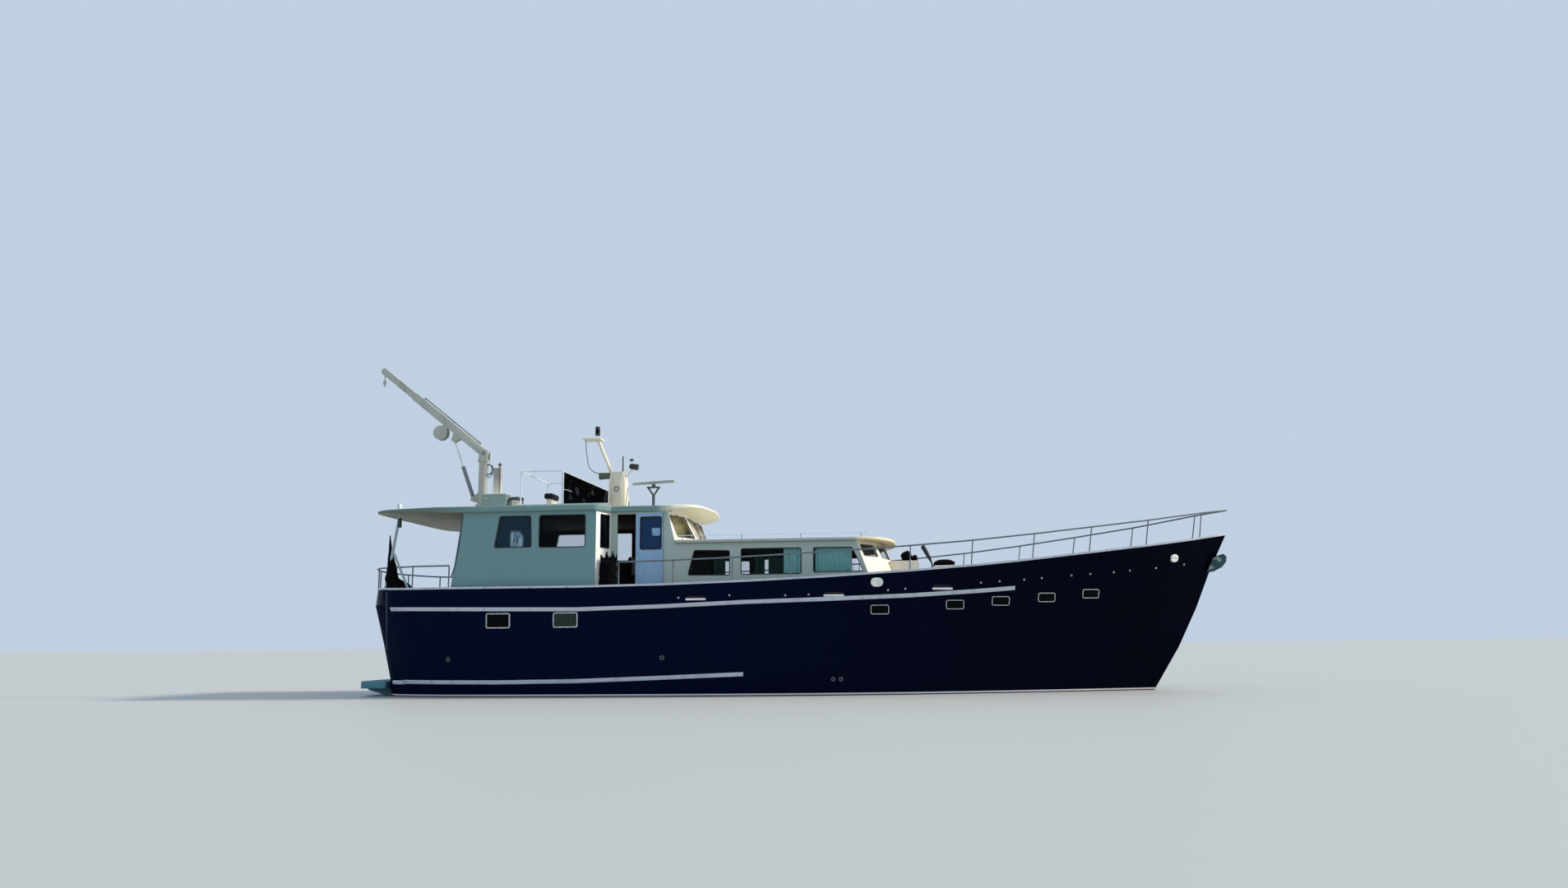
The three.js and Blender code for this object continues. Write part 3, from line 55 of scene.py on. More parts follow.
def aim(eye, yaw, pitch, roll):
    """The matrix of a camera at eye: it looks along +Y, turned left by yaw, lifted by pitch, then rolled."""
    ahead = Vector((-math.sin(yaw) * math.cos(pitch), math.cos(yaw) * math.cos(pitch), math.sin(pitch)))
    level = Vector((math.cos(yaw), math.sin(yaw), 0))
    upright = level.cross(ahead)
    right = level * math.cos(roll) - upright * math.sin(roll)
    up = upright * math.cos(roll) + level * math.sin(roll)
    matrix = Matrix((right, up, -ahead)).transposed().to_4x4()
    matrix.translation = eye
    return matrix


camera = bpy.data.objects.new("camera", bpy.data.cameras.new("camera"))
bpy.context.scene.collection.objects.link(camera)
camera.data.lens = LENS
camera.data.sensor_width = SENSOR_WIDTH
camera.data.clip_end = 2000
camera.matrix_world = aim(EYE, YAW, PITCH, ROLL)
bpy.context.scene.camera = camera

SKY = (0.66, 0.79, 0.95, 1)
SKY_STRENGTH = 0.8
world = bpy.data.worlds.new("soft_sky")
world.use_nodes = True
world.node_tree.nodes["Background"].inputs["Color"].default_value = SKY
world.node_tree.nodes["Background"].inputs["Strength"].default_value = SKY_STRENGTH
bpy.context.scene.world = world
bpy.context.scene.view_settings.view_transform = "Standard"


def lamp(name, kind, energy, colour, place, towards, **size):
    """A light at place that shines towards a point."""
    data = bpy.data.lights.new(name, kind)
    data.energy = energy
    data.color = colour
    for key, value in size.items():
        setattr(data, key, value)
    light = bpy.data.objects.new(name, data)
    bpy.context.scene.collection.objects.link(light)
    light.location = place
    light.rotation_euler = (Vector(towards) - Vector(place)).to_track_quat("-Z", "Y").to_euler()


lamp("key", "SUN", 3.4, (1, 0.93, 0.8), (30, 4, 22), (0, 0, 0), angle=math.radians(9))


class Field:
    """A number, vector or colour that changes over a surface. Sums and products of fields add Math nodes."""

    def __init__(self, finish, socket):
        self.finish = finish
        self.socket = socket

    def math(self, operation, *others):
        return self.finish.node("ShaderNodeMath", {"operation": operation}, dict(enumerate((self, *others))))

    def __add__(self, other):
        return self.math("ADD", other)

    def __sub__(self, other):
        return self.math("SUBTRACT", other)

    def __rsub__(self, other):
        return self.finish.node("ShaderNodeMath", {"operation": "SUBTRACT"}, {0: other, 1: self})

    def __mul__(self, other):
        return self.math("MULTIPLY", other)

    def __abs__(self):
        return self.math("ABSOLUTE")

    __radd__ = __add__
    __rmul__ = __mul__

    def over(self, level, blur):
        """1 where this is above level, 0 below, and a ramp as wide as blur between."""
        ends = {0: self, 1: level - blur / 2, 2: level + blur / 2}
        return self.finish.node("ShaderNodeMapRange", {"clamp": True}, ends)

    def under(self, level, blur):
        """1 where this is below level, 0 above, and the same ramp between."""
        return 1 - self.over(level, blur)

    def between(self, low, high, blur):
        """1 where this is between two levels, and 0 outside them."""
        return self.over(low, blur) * self.under(high, blur)


class Finish:
    """A material that is being mixed for a Principled shader."""

    def __init__(self, name, **plain):
        self.material = bpy.data.materials.new(name)
        self.material.use_nodes = True
        self.tree = self.material.node_tree
        self.shader = self.tree.nodes["Principled BSDF"]
        self.place = self.node("ShaderNodeTexCoord", {}, {}, "Object")
        for socket, value in plain.items():
            self.set(socket.replace("_", " "), value)

    def node(self, kind, settings, inputs, output=0):
        """Adds a node: its settings come first, then the values or links of its sockets. Gives one output."""
        made = self.tree.nodes.new(kind)
        for key, value in settings.items():
            setattr(made, key, value)
        for key, value in inputs.items():
            if isinstance(value, Field):
                self.tree.links.new(value.socket, made.inputs[key])
            elif value is not None:
                made.inputs[key].default_value = value
        return Field(self, made.outputs[output])

    def set(self, socket, value):
        """Gives a socket of the shader a field, a colour or a number."""
        if isinstance(value, Field):
            self.tree.links.new(value.socket, self.shader.inputs[socket])
        elif isinstance(value, tuple) and len(value) == 3:
            self.shader.inputs[socket].default_value = (*value, 1)
        else:
            self.shader.inputs[socket].default_value = value

    def axis(self, name):
        """One coordinate of the place on the piece, in metres."""
        return self.node("ShaderNodeSeparateXYZ", {}, {0: self.place}, name)

    def facing(self, name):
        """One coordinate of the direction that the surface faces."""
        normal = self.node("ShaderNodeNewGeometry", {}, {}, "Normal")
        return self.node("ShaderNodeSeparateXYZ", {}, {0: normal}, name)

    def noise(self, scale, detail=4, stretch=(1, 1, 1)):
        """Cloudy noise with scale features a metre, drawn out along an axis where stretch is under 1."""
        place = self.node("ShaderNodeMapping", {}, {0: self.place, "Scale": stretch})
        return self.node("ShaderNodeTexNoise", {}, {"Vector": place, "Scale": scale, "Detail": detail})

    def mix(self, share, first, second):
        """first where share is 0 and second where it is 1."""
        colours = [(*c, 1) if isinstance(c, tuple) and len(c) == 3 else c for c in (first, second)]
        inputs = {0: share, 6: colours[0], 7: colours[1]}
        return self.node("ShaderNodeMix", {"data_type": "RGBA"}, inputs, 2)

    def colour(self, share, first, second):
        """Sets the base colour: first where share is 0 and second where it is 1."""
        self.set("Base Color", self.mix(share, first, second))

    def bump(self, height, distance, below=None):
        """A relief of that height in metres, over another relief."""
        return self.node("ShaderNodeBump", {}, {"Height": height, "Distance": distance, "Normal": below})


FLOOR_HALF = 900
floor_finish = Finish("floor", Base_Color=(0.47, 0.48, 0.47), Roughness=0.6)
floor_mesh = bpy.data.meshes.new("floor")
floor_signs = [(-1, -1), (1, -1), (1, 1), (-1, 1)]
floor_mesh.from_pydata([(FLOOR_HALF * a, FLOOR_HALF * b, 0) for a, b in floor_signs], [], [(0, 1, 2, 3)])
floor_mesh.materials.append(floor_finish.material)
floor = bpy.data.objects.new("floor", floor_mesh)
bpy.context.scene.collection.objects.link(floor)

# Hull
# Welded steel plates, faired and sprayed with dark blue gloss above a thin white line, red-brown bottom paint
# under water, and grey non-skid paint on the deck. Inside the deckhouses the deck is laid with wood.
WATER_LINE = 0.06
LINE_WIDTH = 0.035
NAVY = (0.0003, 0.0035, 0.022)
# Painted shade: the darker navy towards the bow, where the flared side faces down
NAVY_BOW_SHADE = (0.0003, 0.001, 0.0055)
NAVY_STAIN = (0.001, 0.0035, 0.015)
NAVY_GLOSS = 0.03
BOOT_WHITE = (0.72, 0.74, 0.76)
BOTTOM_RED = (0.13, 0.03, 0.022)
WEED = (0.05, 0.05, 0.03)
DECK_GREY = (0.23, 0.27, 0.28)
DECK_DIRT = (0.12, 0.13, 0.12)
WOOD_DARK = (0.045, 0.022, 0.013)
WOOD_LIGHT = (0.1, 0.052, 0.03)
PLANK_WIDTH = 0.04
AFT_WALL_X = -7.99
CABIN_FORE_X = -4.5
SALOON_FORE_X = 2.2
CABIN_WALL_Y = 2.53
HOUSE_WALL_Y = 1.92


def dress(names, finish, bevel=0.0):
    """Gives CAD nodes a finish. Their triangles are merged. With bevel the flat faces are made whole and the
    sharp edges eased, or else those edges are only parted."""
    for name in names:
        node = nodes[name]
        node.data.materials.clear()
        node.data.materials.append(finish.material)
        node.data.polygons.foreach_set("use_smooth", np.ones(len(node.data.polygons), bool))
        weld = node.modifiers.new("merge", "WELD")
        weld.merge_threshold = 1e-5
        if bevel:
            flat = node.modifiers.new("flat", "DECIMATE")
            flat.decimate_type = "DISSOLVE"
            flat.angle_limit = math.radians(0.4)
            ease = node.modifiers.new("ease", "BEVEL")
            ease.width = bevel
            ease.segments = 2
            ease.limit_method = "ANGLE"
            ease.angle_limit = math.radians(35)
            ease.harden_normals = True
        else:
            crease = node.modifiers.new("crease", "EDGE_SPLIT")
            crease.split_angle = math.radians(32)


def sea_air(finish, base, stain, amount):
    """Paint that has stood out of doors: faint clouds, and stains drawn down by rain."""
    clouds = finish.noise(0.7, 5).over(0.55, 0.5)
    runs = finish.noise(5.0, 6, (1, 1, 0.09)).over(0.62, 0.22)
    aged = finish.mix(clouds * (0.45 * amount), base, stain)
    return finish.mix(runs * amount, aged, stain)


def plating(finish, distance=0.004):
    """The slight waviness of welded plates, with fine orange peel from the spray gun."""
    waves = finish.bump(finish.noise(0.9, 2, (1, 1, 1.6)), distance * 5)
    return finish.bump(finish.noise(70, 2), distance * 0.08, waves)


def wood(finish, stretch=(0.12, 1, 1)):
    """Varnished wood with its grain drawn out along an axis."""
    return finish.mix(finish.noise(14, 6, stretch).over(0.5, 0.5), WOOD_DARK, WOOD_LIGHT)


def navy(finish):
    """The hull's dark blue, with painted shade that darkens it towards the bow, where the flared side faces
    down.
    """
    bow_shaded_navy = finish.mix(finish.axis("X").over(2.0, 14.0), NAVY, NAVY_BOW_SHADE)
    return sea_air(finish, bow_shaded_navy, NAVY_STAIN, 0.4)


hull_paint = Finish("hull_paint", Specular_IOR_Level=NAVY_GLOSS)
height = hull_paint.axis("Z")
beam = abs(hull_paint.axis("Y"))
sides = navy(hull_paint)
line = height.between(WATER_LINE - LINE_WIDTH, WATER_LINE, 0.006)
wet = height.under(WATER_LINE - LINE_WIDTH, 0.006)
deck = height.over(2.1, 0.1) * hull_paint.facing("Z").over(0.8, 0.2)
middle_rooms = hull_paint.axis("X").between(AFT_WALL_X, SALOON_FORE_X, 0.01) * beam.under(HOUSE_WALL_Y, 0.01)
cabin_sides = hull_paint.axis("X").between(AFT_WALL_X, CABIN_FORE_X, 0.01)
indoors = middle_rooms + cabin_sides * beam.between(HOUSE_WALL_Y, CABIN_WALL_Y, 0.01)
plank_seams = beam.math("PINGPONG", PLANK_WIDTH).under(0.003, 0.002)
laid = hull_paint.mix(plank_seams, wood(hull_paint), (0.02, 0.015, 0.012))
colour = hull_paint.mix(line, sides, BOOT_WHITE)
colour = hull_paint.mix(wet, colour, sea_air(hull_paint, BOTTOM_RED, WEED, 0.8))
colour = hull_paint.mix(deck, colour, sea_air(hull_paint, DECK_GREY, DECK_DIRT, 0.6))
hull_paint.colour(deck * indoors, colour, laid)
stern_face = hull_paint.facing("X").under(-0.5, 0.3)
hull_paint.set("Roughness", 0.2 + (deck + wet + stern_face) * 0.5 + hull_paint.noise(2.2, 4) * 0.12)
grit = hull_paint.noise(240, 2) * deck * (1 - indoors)
hull_paint.set("Normal", hull_paint.bump(grit, 0.002, plating(hull_paint)))
dress(["hull"], hull_paint)

bulwark_paint = Finish("bulwark_paint", Specular_IOR_Level=NAVY_GLOSS)
across_in = bulwark_paint.facing("Y") * bulwark_paint.axis("Y")
along_in = bulwark_paint.facing("X") * bulwark_paint.axis("X") * 0.08
outside = navy(bulwark_paint)
inside = sea_air(bulwark_paint, (0.55, 0.58, 0.58), (0.3, 0.28, 0.22), 0.7)
bulwark_paint.colour((across_in + along_in).under(-0.02, 0.02), outside, inside)
bulwark_paint.set("Roughness", 0.2 + bulwark_paint.noise(2.2, 4) * 0.12)
bulwark_paint.set("Normal", plating(bulwark_paint))
dress(["bulwark_starboard", "bulwark_port", "bulwark_stern"], bulwark_paint)

bottom_paint = Finish("bottom_paint", Roughness=0.75)
bottom_paint.set("Base Color", sea_air(bottom_paint, BOTTOM_RED, WEED, 0.9))
bottom_paint.set("Normal", bottom_paint.bump(bottom_paint.noise(30, 5), 0.003))
dress(["keel", "rudder"], bottom_paint, 0.012)

bronze = Finish("propeller_bronze", Metallic=1.0)
bronze.colour(bronze.noise(9, 5).over(0.5, 0.4), (0.5, 0.33, 0.14), (0.16, 0.17, 0.1))
bronze.set("Roughness", 0.3 + bronze.noise(14, 4) * 0.35)
dress(["propeller"], bronze, 0.006)

# Portlights
# Fixed panes in rounded alloy frames, bolted on the plating: two large ones aft and five small ones forward
# on each side.
AFT_PORTS = [(-7.004, 1.829), (-5.313, 1.83)]
FORE_PORTS = [(2.264, 1.998), (4.052, 2.104), (5.152, 2.185), (6.274, 2.266), (7.376, 2.354)]
AFT_SIZE, AFT_BORDER = (0.62, 0.37), 0.03
FORE_SIZE, FORE_BORDER = (0.44, 0.225), 0.018
PORT_CORNER = 0.04


def skin(grid, loop=False):
    """A closed surface through rings of points, an array (rings, points, 3). A point is joined to the next on
    its ring and to the same point of the next ring. With loop the last ring meets the first, or else a flat
    face closes each end. Faces are turned to look outwards: the volume that they span is positive."""
    count, around = grid.shape[:2]
    index = np.arange(count * around).reshape(count, around)
    here, there = (index, np.roll(index, -1, 0)) if loop else (index[:-1], index[1:])
    quads = np.stack([here, np.roll(here, -1, 1), np.roll(there, -1, 1), there], -1).reshape(-1, 4)
    points = grid.reshape(-1, 3)
    a, b, c, d = (points[quads[:, k]] - points.mean(0) for k in range(4))
    volume = np.einsum("ij,ij->", a, np.cross(b, c)) + np.einsum("ij,ij->", a, np.cross(c, d))
    faces = quads.tolist() + ([] if loop else [index[0][::-1].tolist(), index[-1].tolist()])
    return points, faces if volume > 0 else [face[::-1] for face in faces]


def piece(name, solids, finish, body="boat", stands_for=(), crease=32):
    """One object from several closed surfaces. It rides on a body of the CAD model."""
    offsets = np.cumsum([0] + [len(points) for points, _ in solids])
    faces = [[i + start for i in face] for (_, part), start in zip(solids, offsets) for face in part]
    mesh = bpy.data.meshes.new(name)
    mesh.from_pydata(np.concatenate([points for points, _ in solids]), [], faces)
    mesh.polygons.foreach_set("use_smooth", np.ones(len(mesh.polygons), bool))
    mesh.set_sharp_from_angle(angle=math.radians(crease))
    mesh.materials.append(finish.material)
    made = bpy.data.objects.new(name, mesh)
    bpy.context.scene.collection.objects.link(made)
    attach(made, body)
    if stands_for:
        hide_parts(*stands_for)
    return made


def both(solids):
    """The same surfaces and their mirror images on the other side of the boat."""
    return solids + [(points * (1, -1, 1), [face[::-1] for face in faces]) for points, faces in solids]


def unit(vectors):
    """The same directions, each one long."""
    vectors = np.asarray(vectors, float)
    return vectors / np.maximum(np.linalg.norm(vectors, axis=-1, keepdims=True), 1e-9)


def rounded(corners, radius, steps=4):
    """A closed outline with rounded corners: each is a parabola from radius before it to radius after."""
    corners = np.asarray(corners, float)
    before = corners + unit(np.roll(corners, 1, 0) - corners) * radius
    after = corners + unit(np.roll(corners, -1, 0) - corners) * radius
    t = np.linspace(0, 1, steps + 1)[None, :, None]
    curve = (1 - t) ** 2 * before[:, None] + 2 * t * (1 - t) * corners[:, None] + t**2 * after[:, None]
    return curve.reshape(-1, corners.shape[1])


def oblong(width, height):
    """The four corners of a rectangle about the origin."""
    return np.array([(-width, -height), (width, -height), (width, height), (-width, height)]) / 2


def spread(flat, foot, across, rise):
    """Points of a plane set in space: foot + u across + v rise."""
    foot, across, rise = (np.asarray(vector, float) for vector in (foot, across, rise))
    return foot + flat[:, :1] * across + flat[:, 1:2] * rise


def carry(profile, path, up, closed=False):
    """A closed profile of (side, lift) points carried along a path. Lift is up, made square to the path, and
    side is square to both."""
    path = np.asarray(path, float)
    profile = np.asarray(profile, float)
    ahead = np.roll(path, -1, 0) - np.roll(path, 1, 0) if closed else np.gradient(path, axis=0)
    side = unit(np.cross(unit(ahead), np.broadcast_to(np.asarray(up, float), path.shape)))
    lift = np.cross(side, unit(ahead))
    grid = path[:, None] + profile[None, :, :1] * side[:, None] + profile[None, :, 1:] * lift[:, None]
    return skin(grid, closed)


def circle(radius, around=10):
    """Points on a circle."""
    turn = np.arange(around) * (2 * math.pi / around)
    return radius * np.stack([np.cos(turn), np.sin(turn)], -1)


def smooth(points, steps=6):
    """A smooth path through points: between two of them, a cubic whose slope at each joins its neighbours."""
    points = np.asarray(points, float)
    ends = np.concatenate([2 * points[:1] - points[1:2], points, 2 * points[-1:] - points[-2:-1]])
    p0, p1, p2, p3 = ends[:-3, None], ends[1:-2, None], ends[2:-1, None], ends[3:, None]
    t = np.linspace(0, 1, steps, endpoint=False)[None, :, None]
    curve = p1 + 0.5 * t * (p2 - p0 + t * (2 * p0 - 5 * p1 + 4 * p2 - p3 + t * (3 * (p1 - p2) + p3 - p0)))
    return np.concatenate([curve.reshape(-1, points.shape[1]), points[-1:]])


def hose(path, radius, around=10, closed=False):
    """A round tube along a path. Its first side is square to the path, and is carried on without twist."""
    path = np.asarray(path, float)
    ahead = unit(np.roll(path, -1, 0) - np.roll(path, 1, 0) if closed else np.gradient(path, axis=0))
    side = np.empty_like(path)
    side[0] = unit(np.cross(ahead[0], (0.2, 0.9, 0.4)))
    for k in range(1, len(path)):
        side[k] = unit(side[k - 1] - ahead[k] * (side[k - 1] @ ahead[k]))
    lift = np.cross(ahead, side)
    round_points = circle(1, around)
    radius = np.broadcast_to(radius, len(path))[:, None, None]
    ring = round_points[None, :, :1] * side[:, None] + round_points[None, :, 1:] * lift[:, None]
    return skin(path[:, None] + radius * ring, closed)


def bar(start, end, radius, around=10):
    """A straight round bar with eased ends."""
    start, end = np.asarray(start, float), np.asarray(end, float)
    length = np.linalg.norm(end - start)
    ease = min(radius * 0.3, length * 0.2) / length
    shares = np.array([0, ease, 1 - ease, 1])[:, None]
    return hose(start + shares * (end - start), radius * np.array([0.7, 1, 1, 0.7]), around)


def lathe(profile, foot, axis=(0, 0, 1), around=20):
    """A profile of (radius, height) rows turned round an axis through foot."""
    profile = np.asarray(profile, float)
    axis = unit(axis)
    across = unit(np.cross(axis, (0.31, 0.95, 0.05)))
    flat = circle(1, around)
    ring_points = flat[:, :1] * across + flat[:, 1:] * np.cross(axis, across)
    return skin(np.asarray(foot, float) + profile[:, None, 1:] * axis + profile[:, None, :1] * ring_points)


def slab(outline, foot, across, rise, thickness, ease):
    """A plate of that outline, standing out from foot by thickness, with its outer edge rounded by ease."""
    out = np.cross(across, rise)
    ahead = unit(np.roll(outline, -1, 0) - np.roll(outline, 1, 0))
    inward = np.stack([-ahead[:, 1], ahead[:, 0]], -1)
    levels = [(0, 0), (thickness - ease, 0), (thickness - 0.3 * ease, 0.3 * ease), (thickness, ease)]
    rings = []
    for level, inset in levels:
        rings.append(spread(outline + inward * inset, np.asarray(foot, float) + out * level, across, rise))
    return skin(np.array(rings))


def block(low, high, ease=0.01):
    """An upright box from its low corner to its high corner, with rounded upright edges and an eased top."""
    low, high = np.asarray(low, float), np.asarray(high, float)
    size = high - low
    radius = min(ease * 2, size[0] * 0.3, size[1] * 0.3)
    outline = rounded(oblong(size[0], size[1]), radius, 3)
    foot = (*((low + high) / 2)[:2], low[2])
    top_ease = min(ease, size[2] * 0.3, size[0] * 0.2, size[1] * 0.2)
    return slab(outline, foot, (1, 0, 0), (0, 1, 0), size[2], top_ease)


def tree_of(names):
    """The faces of CAD nodes, for finding where a line meets them."""
    points, faces = [], []
    for name in names:
        mesh = nodes[name].data
        faces += [[i + len(points) for i in polygon.vertices] for polygon in mesh.polygons]
        points += [vertex.co.copy() for vertex in mesh.vertices]
    return BVHTree.FromPolygons(points, faces)


shell = tree_of(["hull", "bulwark_starboard", "bulwark_port", "bulwark_stern"])
house = tree_of(["main_roof", "saloon_roof"])


def side_of(x, z):
    """Where the starboard side lies at x and z: the place, and its axes along, up and outwards."""
    place, out = shell.ray_cast(Vector((x, -6, z)), Vector((0, 1, 0)))[:2]
    out = unit(out)
    along = unit(np.cross((0, 0, 1), out))
    return np.array(place), along, np.cross(out, along), out


def deck_under(x, y, tree=shell, top=4.0):
    """The height of the deck, or of a roof, under a point."""
    return tree.ray_cast(Vector((x, y, top)), Vector((0, 0, -1)))[0].z


def trimmed(size, border):
    """A width and height less a border on each side."""
    return size[0] - 2 * border, size[1] - 2 * border


def portlight(x, z, size, border):
    """A frame whose rounded bar runs round the pane, and the pane."""
    place, along, rise, out = side_of(x, z)
    edge = spread(rounded(oblong(*trimmed(size, border / 2)), PORT_CORNER), place, along, rise)
    half = border / 2
    crest = half * 0.6
    bar_profile = [
        (-half, -0.03), (half, -0.03), (half, 0.008), (crest, 0.02), (-crest, 0.02), (-half, 0.008),
    ]
    pane = rounded(oblong(*trimmed(size, border * 0.9)), PORT_CORNER * 0.8)
    return carry(bar_profile, edge, out, True), slab(pane, place - out * 0.03, along, rise, 0.033, 0.003)


alloy = Finish("portlight_alloy", Specular_IOR_Level=0.5)
alloy.colour(alloy.noise(22, 5).over(0.58, 0.2), (0.66, 0.66, 0.66), (0.36, 0.3, 0.26))
alloy.set("Roughness", 0.35 + alloy.noise(30, 3) * 0.25)
alloy.set("Metallic", alloy.noise(12, 3) * 0.3)
deep_glass = Finish("deep_glass", Roughness=0.06, IOR=1.5, Specular_IOR_Level=0.05)
deep_glass.colour(deep_glass.noise(2.5, 3), (0.0006, 0.001, 0.002), (0.002, 0.004, 0.006))
blind_glass = Finish("blind_glass", Roughness=0.08, Specular_IOR_Level=0.1)
blind_folds = blind_glass.noise(9, 3, (1, 1, 0.1))
blind_glass.colour(blind_folds, (0.012, 0.022, 0.016), (0.045, 0.06, 0.045))

ports = [portlight(x, z, AFT_SIZE, AFT_BORDER) for x, z in AFT_PORTS]
ports += [portlight(x, z, FORE_SIZE, FORE_BORDER) for x, z in FORE_PORTS]
panes = [pane for _, pane in ports]
piece("portlight_frames", both([frame_bar for frame_bar, _ in ports]), alloy)
piece("portlight_panes", both(panes[:1] + panes[2:]), deep_glass)
piece("portlight_with_blind", both(panes[1:2]), blind_glass)

# Openings along the side
# Slots that drain the deck, each over a bright worn sill, a row of small round vents under the cap, pipe ends
# low down, and white rounded fairleads for the lines. Dark plates inside the slots, vents and pipe ends are
# painted shade.
SCUPPERS = [(-2.123, 2.341), (1.184, 2.392), (3.761, 2.537)]
SCUPPER_SIZE = (0.46, 0.085)
SLOT_CORNER = 0.035
SILL = (0.49, 0.05)
VENTS = [
    (-2.541, 2.326), (-1.309, 2.37), (0.03, 2.354), (0.588, 2.367), (2.47, 2.454), (2.88, 2.483),
    (4.687, 2.618), (5.137, 2.648), (5.734, 2.686), (6.165, 2.725), (6.897, 2.785), (7.371, 2.826),
    (7.965, 2.869), (8.377, 2.911), (9.064, 2.977), (9.818, 3.076),
]
VENT_RADIUS = 0.012
PIPE_ENDS = [(-8.283, 0.911, 0.04), (-2.937, 0.912, 0.04), (1.13, 0.38, 0.035), (1.31, 0.38, 0.035)]
FAIRLEADS = [(2.21, 2.645, 0.145, 0.105), (9.548, 3.224, 0.115, 0.095)]
LIP = [(-0.012, -0.02), (0.02, -0.02), (0.02, 0.01), (0.008, 0.018), (-0.012, 0.01)]


def ring_on_side(x, z, flat, profile):
    """A bar with that profile carried round a flat outline on the boat's side."""
    place, along, rise, out = side_of(x, z)
    return carry(profile, spread(flat, place, along, rise), out, True)


def plug(x, z, flat, sunk, proud):
    """A plate in the side, from sunk under the plating to proud of it. Its edge is eased."""
    place, along, rise, out = side_of(x, z)
    return slab(flat, place - out * sunk, along, rise, sunk + proud, 0.003)


TRIM_WHITE = (0.56, 0.59, 0.66)
RUST = (0.22, 0.09, 0.035)


def white_paint(name, base, rust_amount, rough=0.4):
    """Brushed white paint on steel, with dirt clouds and small rust blooms."""
    finish = Finish(name, Specular_IOR_Level=0.45)
    dirty = sea_air(finish, base, tuple(0.55 * c for c in base), 0.5)
    blooms = finish.noise(6.0, 8).over(0.72, 0.08) * rust_amount
    finish.colour(blooms, dirty, RUST)
    finish.set("Roughness", rough + finish.noise(7, 4) * 0.2)
    finish.set("Normal", finish.bump(finish.noise(45, 4, (0.3, 1, 1)), 0.0012, plating(finish, 0.001)))
    return finish


worn_lip = Finish("worn_lip", Metallic=0.1)
worn_lip.colour(worn_lip.noise(30, 5).over(0.56, 0.3), (0.98, 0.95, 0.94), (0.6, 0.46, 0.42))
worn_lip.set("Roughness", 0.4 + worn_lip.noise(30, 4) * 0.3)
# Painted shade: the dark inside the slots, vents and pipe ends
painted_hole_shade = Finish("painted_hole_shade", Roughness=0.8)
painted_hole_shade.colour(painted_hole_shade.noise(20, 4), (0.002, 0.003, 0.006), (0.01, 0.01, 0.012))
slot_edge = rounded(oblong(*SCUPPER_SIZE), SLOT_CORNER)
slot_rims = [ring_on_side(x, z, slot_edge, LIP) for x, z in SCUPPERS]
piece("scupper_rims", both(slot_rims), hull_paint)
sill_edge = rounded(oblong(*SILL), 0.015, 2)
sills = []
for x, z in SCUPPERS:
    place, along, rise, out = side_of(x, z - SCUPPER_SIZE[1] / 2 - 0.012)
    sills.append(slab(sill_edge, place - out * 0.01, along, rise, 0.05, 0.012))
piece("scupper_sills", both(sills), worn_lip)
vent_lip = [(side * 0.45, lift * 0.45) for side, lift in LIP]
vent_rings = [ring_on_side(x, z, circle(VENT_RADIUS + 0.002, 14), vent_lip) for x, z in VENTS]
piece("vent_rings", both(vent_rings), alloy)
pipe_steel = Finish("pipe_steel", Metallic=0.3)
pipe_steel.colour(pipe_steel.noise(25, 4), (0.05, 0.06, 0.09), (0.12, 0.11, 0.12))
pipe_steel.set("Roughness", 0.5 + pipe_steel.noise(20, 3) * 0.2)
pipe_rings = [ring_on_side(x, z, circle(radius, 18), LIP) for x, z, radius in PIPE_ENDS]
piece("pipe_rings", both(pipe_rings), pipe_steel)
# Painted shade: dark plates sunk inside the slots, vents and pipe ends
holes = [plug(x, z, slot_edge, 0.03, 0.002) for x, z in SCUPPERS]
holes += [plug(x, z, circle(VENT_RADIUS, 12), 0.03, 0.002) for x, z in VENTS]
holes += [plug(x, z, circle(radius - 0.004, 16), 0.03, 0.002) for x, z, radius in PIPE_ENDS]
piece("opening_shade_plugs", both(holes), painted_hole_shade)

fairlead_paint = white_paint("fairlead_paint", (1.0, 0.98, 0.9), 0.0, 0.3)
FAIRLEAD_BAR = [
    (-0.05, -0.03), (0.03, -0.03), (0.034, 0.012), (0.02, 0.034), (-0.02, 0.04), (-0.045, 0.02), (-0.05, 0),
]
leads = []
for x, z, half_length, half_height in FAIRLEADS:
    lead_edge = rounded(oblong(*trimmed((2 * half_length, 2 * half_height), 0.03)), 0.8 * half_height, 6)
    leads.append(ring_on_side(x, z, lead_edge, FAIRLEAD_BAR))
    mouth = rounded(oblong(1.6 * half_length, 1.6 * half_height), 0.7 * half_height, 6)
    leads.append(plug(x, z, mouth, 0.03, 0.012))
piece("fairleads", both(leads), fairlead_paint)

# Rub rails, cap rail and strips
# Steel half rounds and flat bar welded along the sides, painted pale grey-white, rubbed and rust-streaked.
# The strips down the quarters are dark, and the bar down the stem has the hull's colour.
trim_paint = white_paint("trim_paint", TRIM_WHITE, 0.55)
rub_rails = [f"rub_rail_{level}_{side}" for level in ("upper", "lower") for side in ("starboard", "port")]
dress(rub_rails, trim_paint, 0.024)
dress(["cap_rail"], trim_paint, 0.014)
QUARTER = [
    (-10.007, 2.58), (-10.007, 2.377), (-10.019, 2.073), (-10.044, 1.77), (-10.097, 1.467), (-10.15, 1.161),
]
quarter_path = smooth([side_of(x, z)[0] for x, z in QUARTER], 4)
quarter_paint = white_paint("quarter_paint", (0.06, 0.07, 0.1), 0.8)
piece("quarter_strips", both([hose(quarter_path, 0.018, 8)]), quarter_paint)
LOW_RAIL_Z = 0.353
LOW_RAIL_AFT = -9.95
rail_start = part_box("rub_rail_lower_starboard")[0][0]
rail_ends = [side_of(x, LOW_RAIL_Z) for x in np.linspace(LOW_RAIL_AFT, rail_start + 0.02, 6)]
